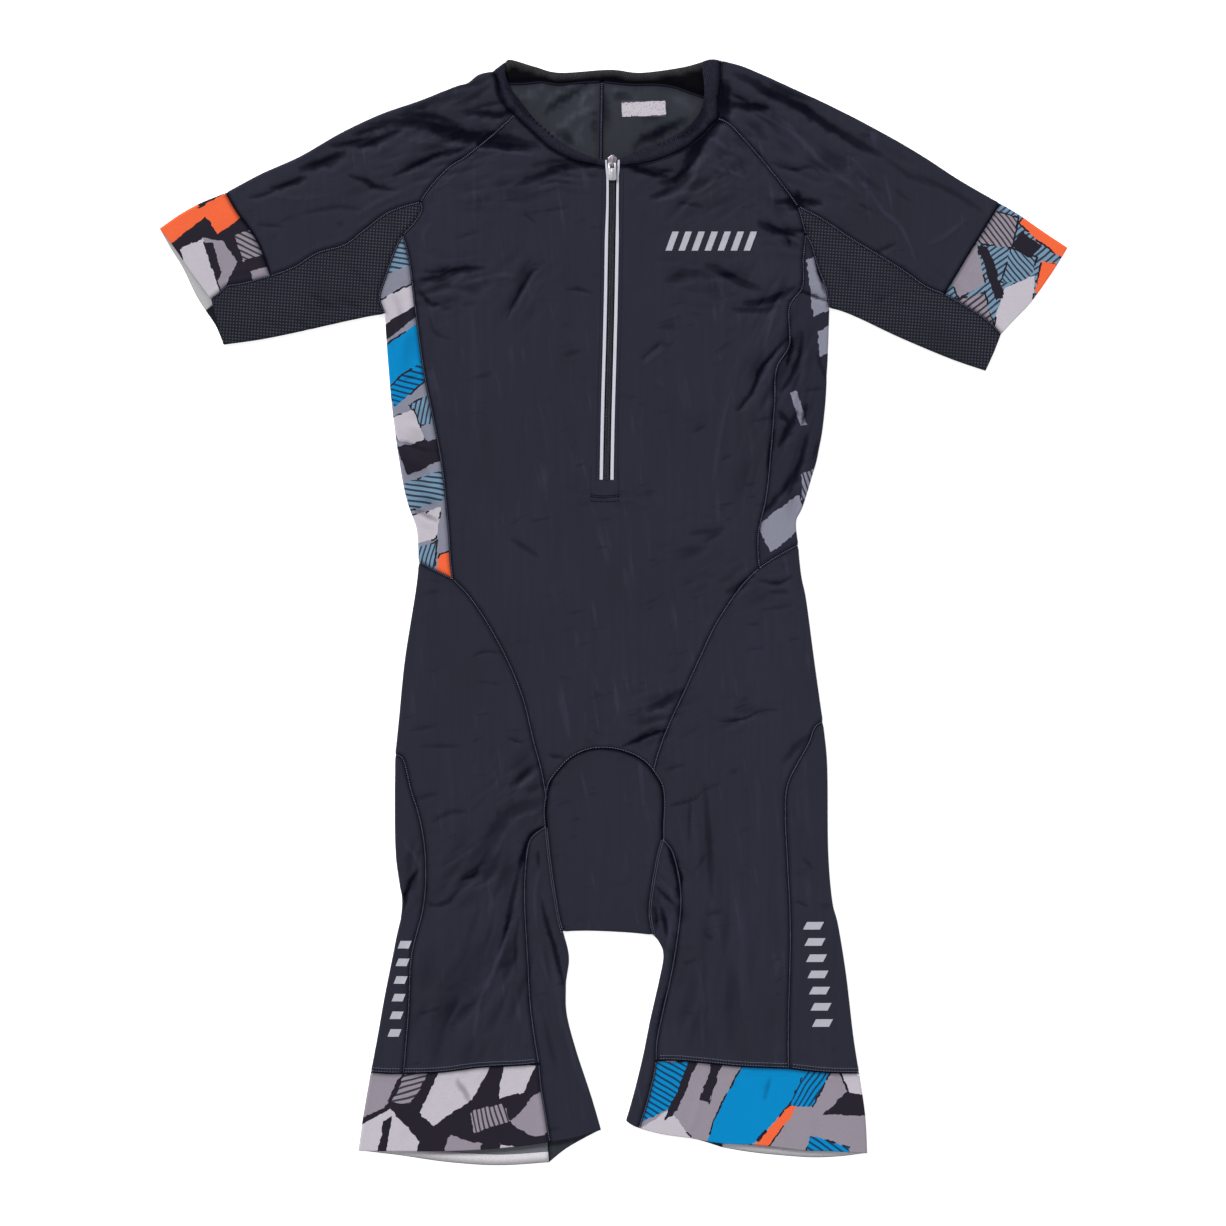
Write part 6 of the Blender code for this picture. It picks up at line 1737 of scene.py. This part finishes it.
class SUIT_OT_seams(bpy.types.Operator):
    """Make the covered seams and their threads, and the rows of top stitches"""

    bl_idname = "suit.seams"
    bl_label = "Seams and stitches"

    CORDS = ("raglan", "raglan_low", "mesh_top", "mesh_out", "side_mesh", "body_side", "waist", "leg_curve",
             "inner", "inner_low", "outer", "crotch_low")
    # Seams of the back layer that show through the neck, and the width of their cord
    NECK_CORDS = (("back_mid", 0.0040), ("back_neck_r", 0.0020), ("back_neck_l", 0.0020))
    # Seams closed by a thread inside the cloth, of the back layer and of the front layer
    CORES = ("back_mid", "seat_mid", "back_neck", "back_neck_side", "back_raglan", "back_waist", "back_arch",
             "back_crotch", "back_inner", "back_inner_low", "back_hem_seam", "back_mesh_out")
    FRONT_CORES = ("cuff_seam", "hem_seam", "hem_seam_out", "neck_front", "neck_side", "crotch_side")
    # Rows of top stitches: line, how far to its left they run in millimetres (to its right on the wearer's
    # left), and how many points are left out at its start and end
    ROWS = (("hem_seam", (2.2, 5.4), 1, 2), ("hem_seam_out", (2.2, 5.4), 1, 2), ("arch", (1.8,), 0, 0),
            ("crotch_side", (-1.8,), 0, 0), ("crotch_low", (-1.8,), 0, 0))
    DARK_ROWS = (("cuff_seam", (1.6,), 1, 1), ("neck_front", (-2.0,), 1, 1), ("neck_side", (-2.0,), 1, 1))
    # Wider stitches that hold the neck band: their rows, then distance, length and thickness
    TICK_ROWS = ((530, 117, 541, 127, 553, 137), (659, 146, 675, 140, 692, 131))
    TICKS = (0.0046, 0.0034, 0.0012)
    # Quiet rows beside the zip, and bars across its lower end
    QUIET_REACH = 0.0106
    BAR_HEIGHTS = (495.6, 497.4, 501.6)
    # Distances between the points of paths, and how far above the cloth stitches lie
    CORD_STEP = 0.0022
    ROW_STEP = 0.0025
    FINE_STEP = 0.002
    LIFT = 0.0001
    CORD_LIFT = 0.0002
    # Width, height and sides of a thread inside the cloth
    CORE = (0.0012, 0.0008, 4)

    def execute(self, context):
        suit = Suit.get()
        sewing = settings("sewing")
        lines = suit.pattern.lines

        def sided(names, step):
            """Even points of each line, with those that have a right and a left one."""
            return [even(lines[name + side].points, step)
                    for name in names for side in ("", "_r", "_l") if name + side in lines]

        def rows_beside(table):
            paths = []
            for name, distances, first, last in table:
                for side, sign in (("", 1.0), ("_r", 1.0), ("_l", -1.0)):
                    for distance in distances if name + side in lines else ():
                        line = even(lines[name + side].points, self.ROW_STEP)
                        flat = shifted(line, sign * distance / 1000.0)
                        paths.append(path_over(suit, flat[first:len(flat) - last], self.LIFT))
            return paths

        def fine_row(numbers, lift):
            return path_over(suit, spline(places(numbers), self.FINE_STEP), lift)

        cords = Mesh()
        crossed = []
        for flat in sided(self.CORDS, self.CORD_STEP):
            if len(flat) > 4:
                path = path_over(suit, flat[1:-1], self.CORD_LIFT)
                tube(cords, path, sewing.cord_width, sewing.cord_height)
                crossed.append(path_over(suit, flat[1:-1], self.CORD_LIFT + sewing.cord_height * 0.42))
        for name, width in self.NECK_CORDS:
            flat = even(lines[name].points, self.CORD_STEP)
            flat = flat[(flat[:, 1] < place(0, 82)[1]) & (flat[:, 1] > place(0, 168)[1])]
            path = np.column_stack((flat, np.full(len(flat), settings("cut").wall + 0.0003)))
            tube(cords, path, width, 0.0011)
            if name == "back_mid":
                crossed.append(path + np.array((0.0, 0.0, 0.0005)))
        cores = [np.column_stack((flat, np.full(len(flat), 0.0006))) for flat in sided(self.CORES, 0.004)]
        cores += [path_over(suit, flat, -0.0007) for flat in sided(self.FRONT_CORES, 0.003)]
        for path in cores:
            if len(path) > 2:
                tube(cords, path, *self.CORE)
        simple_piece(cords, "seam_cords", "cord")
        sew("seam_threads", crossed, "stitch", True, sewing.cover_pitch, sewing.cover_length,
            sewing.cover_thickness)
        sew("band_ticks", [fine_row(way, self.LIFT) for way in self.TICK_ROWS], "dark_stitch", True,
            *self.TICKS)
        rows = rows_beside(self.ROWS)
        dark = rows_beside(self.DARK_ROWS)
        quiet = []
        for sign in (-1.0, 1.0):
            flat = suit.pattern.zip + np.array((sign * self.QUIET_REACH, 0.0))
            quiet.append(path_over(suit, flat[flat[:, 1] < place(0, 174)[1]], 0.0))
            quiet.append(fine_row((605 + sign * 14, 468, 604.5 + sign * 14, 500), 0.0))
        for y in self.BAR_HEIGHTS:
            dark.append(fine_row((592, y - 0.4, 604, y + 0.5, 618, y - 0.6), self.LIFT))
        for name, paths, finish, longer, thicker in (("top_stitches", rows, "stitch", 1.0, 1.0),
                                                     ("dark_stitches", dark, "dark_stitch", 1.25, 1.2),
                                                     ("quiet_stitches", quiet, "cord", 1.0, 1.0)):
            sew(name, paths, finish, False, sewing.stitch_pitch, sewing.stitch_length * longer,
                sewing.stitch_thickness * thicker)
        return {"FINISHED"}


class SUIT_OT_zip(bpy.types.Operator):
    """Make the zip's tapes, reflective lines, coil, slider and pull"""

    bl_idname = "suit.zip"
    bl_label = "Zip"

    # Edges of a reflective line in metres from the zip's middle, at heights on the sheet: it narrows
    # towards the neck and flares beside the slider
    NEAR = ((160, 165, 176, 200), (0.0052, 0.0049, 0.0037, 0.0036))
    FAR = ((160, 168, 178, 205, 238), (0.0071, 0.0068, 0.0059, 0.0059, 0.0067))
    # Strips in metres from the zip's middle: the tape's underside, its weave and the coil's bed
    UNDER = (0.0001, 0.0096)
    WEAVE = (0.0034, 0.0071)
    BED = (-0.0031, 0.0031)
    # The coil's rows of turns: how far from the middle, and where on the sheet they begin
    TURNS_AT = 0.00125
    COIL_TOP = 169.4

    def execute(self, context):
        suit = Suit.get()
        sewing = settings("sewing")
        flat = suit.pattern.zip
        height = SHEET_MIDDLE[1] - flat[:, 1] * 1000.0

        def strip(name, finish, edges, lift, wall, rounded=True):
            mesh = Mesh()
            ribbon(mesh, suit, flat, *edges, lift)
            return simple_piece(mesh, name, finish, wall, rounded)

        for word, sign, apart in (("right", -1, 0.0), ("left", 1, 0.0004)):
            strip(f"zip_tape_{word}_under", "bed", [sign * reach for reach in self.UNDER][::sign],
                  -settings("cut").wall - 0.0003, 0.0004)
            tape = strip(f"zip_tape_{word}_weave", "tape", [sign * reach for reach in self.WEAVE][::sign],
                         -0.0006, 0.0009)
            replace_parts(tape, f"zip_tape_{word}")
            edges = [sign * (np.interp(height, *edge) + apart) for edge in (self.NEAR, self.FAR)]
            strip(f"zip_line_{word}", "zip_line", edges[::sign], 0.00012, 0.0004, False)
        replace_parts(strip("zip_coil_bed", "bed", self.BED, -0.0005, 0.0009), "zip_coil")
        rows = []
        for sign in (-1.0, 1.0):
            row = flat + np.array((sign * self.TURNS_AT, sign * sewing.tooth_pitch * 0.25))
            rows.append(path_over(suit, row[row[:, 1] < place(0, self.COIL_TOP)[1]], 0.00035))
        sew("zip_coil_turns", rows, "coil", True, sewing.tooth_pitch, sewing.tooth_width,
            sewing.tooth_pitch * 0.72)
        metal_copy("zip_slider", "zip_slider_cast", "slider", GARMENT)
        metal_copy("zip_pull", "zip_pull_cast", "metal", PULL)
        return {"FINISHED"}


class SUIT_OT_marks(bpy.types.Operator):
    """Press on the plain reflective ticks and the blank neck label"""

    bl_idname = "suit.marks"
    bl_label = "Marks and label"

    # Rows of slanted ticks: x and y of the first, x and y of the last, how many, width, height, slant
    TICKS = (("chest_ticks", 672, 242, 750, 242, 7, 6.4, 19, 7),
             ("thigh_ticks_left", 813, 925, 822, 1022, 7, 17, 7.5, 4),
             ("thigh_ticks_right", 405, 944, 395, 1032, 6, 11, 7.5, 3))
    # Left, bottom, width and height of the label on the sheet
    LABEL = (621, 117, 45, 16)
    WALL = 0.0002

    def execute(self, context):
        suit = Suit.get()
        for name, x0, y0, x1, y1, count, width, height, slant in self.TICKS:
            ticks = Mesh()
            for x, y in zip(np.linspace(x0, x1, count), np.linspace(y0, y1, count)):
                flat = [place(x + u * width + v * slant, y - v * height)
                        for v in np.linspace(-0.5, 0.5, 7) for u in np.linspace(-0.5, 0.5, 5)]
                ticks.add(path_over(suit, np.array(flat), 0.00012), grid_faces(7, 5))
            simple_piece(ticks, name, "reflective", self.WALL, False)
        label = Mesh()
        x, y, width, height = self.LABEL
        flat = np.array([place(x + width * i / 12, y - height * j / 5) for j in range(6) for i in range(13)])
        z, _ = suit.surface.back(flat, settings("cut").wall)
        label.add(np.column_stack((flat, z + settings("cut").wall / 2 + self.WALL)), grid_faces(6, 13))
        simple_piece(label, "neck_label", "label", self.WALL, False)
        return {"FINISHED"}


class SUIT_OT_stage(bpy.types.Operator):
    """Set the floor, the soft lights and the camera"""

    bl_idname = "suit.stage"
    bl_label = "Stage"

    KEY_SPOT = (-2.1, 3.0, 2.9)
    FILL_SPOT = (5.0, -2.2, 4.4)
    FILL_SIZE = 3.4
    AIM = (0.0, 0.05, 0.0)
    FLOOR_LEVEL = -0.0004
    SENSOR = 36.0
    # The point of the sheet below the camera
    VIEW_MIDDLE = (613.0, 613.0)

    def light(self, name, kind, spot, energy):
        light = bpy.data.lights.new(name, kind)
        light.energy = energy
        lamp = link_new(name, light)
        lamp.location = spot
        lamp.rotation_euler = (Vector(self.AIM) - Vector(spot)).to_track_quat("-Z", "Y").to_euler()
        return light

    def execute(self, context):
        stage = settings("stage")
        scene = context.scene
        data = bpy.data.meshes.new("floor")
        reach = stage.floor_reach
        corners = [(x * reach, y * reach, self.FLOOR_LEVEL) for x, y in ((-1, -1), (1, -1), (1, 1), (-1, 1))]
        data.from_pydata(corners, [], [(0, 1, 2, 3)])
        data.materials.append(Suit.get().finish("floor"))
        link_new("floor", data)
        scene.world = studio_world(stage)
        scene.view_settings.view_transform = "Standard"
        self.light("key_light", "SUN", self.KEY_SPOT, stage.key).angle = math.radians(stage.softness)
        self.light("fill_light", "AREA", self.FILL_SPOT, stage.fill).size = self.FILL_SIZE
        eye = bpy.data.cameras.new("camera")
        eye.sensor_width = self.SENSOR
        eye.lens = self.SENSOR * stage.camera_height / stage.view_width
        eye.clip_end = 2.0 * stage.floor_reach
        camera = link_new("camera", eye)
        camera.location = (*place(*self.VIEW_MIDDLE), stage.camera_height)
        scene.camera = camera
        return {"FINISHED"}


# In the order in which the suit is made
OPERATORS = (SUIT_OT_stage, SUIT_OT_backs, SUIT_OT_front, SUIT_OT_side_panels, SUIT_OT_sleeves,
             SUIT_OT_underarms, SUIT_OT_cuffs, SUIT_OT_legs, SUIT_OT_thighs, SUIT_OT_hem_bands,
             SUIT_OT_crotch, SUIT_OT_neck_band, SUIT_OT_zip, SUIT_OT_seams, SUIT_OT_marks)


class SUIT_PT_panel(bpy.types.Panel):
    """Lists the suit's sizes, colours and steps"""

    bl_idname = "SUIT_PT_panel"
    bl_label = "Triathlon suit"
    bl_space_type = "VIEW_3D"
    bl_region_type = "UI"
    bl_category = "Suit"

    def draw(self, context):
        for name, group in SETTINGS.items():
            box = self.layout.box()
            box.label(text=group.__doc__)
            for label in group.__annotations__:
                box.prop(getattr(context.scene, name), label)
        for operator in OPERATORS:
            self.layout.operator(operator.bl_idname)


def register():
    for group in SETTINGS.values():
        bpy.utils.register_class(group)
    for name, group in SETTINGS.items():
        setattr(bpy.types.Scene, name, PointerProperty(type=group))
    for operator in OPERATORS:
        bpy.utils.register_class(operator)
    bpy.utils.register_class(SUIT_PT_panel)


def unregister():
    bpy.utils.unregister_class(SUIT_PT_panel)
    for operator in reversed(OPERATORS):
        bpy.utils.unregister_class(operator)
    for name, group in SETTINGS.items():
        delattr(bpy.types.Scene, name)
        bpy.utils.unregister_class(group)


def main():
    """Makes the whole suit."""
    register()
    for operator in OPERATORS:
        getattr(bpy.ops.suit, operator.bl_idname.removeprefix("suit."))()


if __name__ == "__main__":
    main()
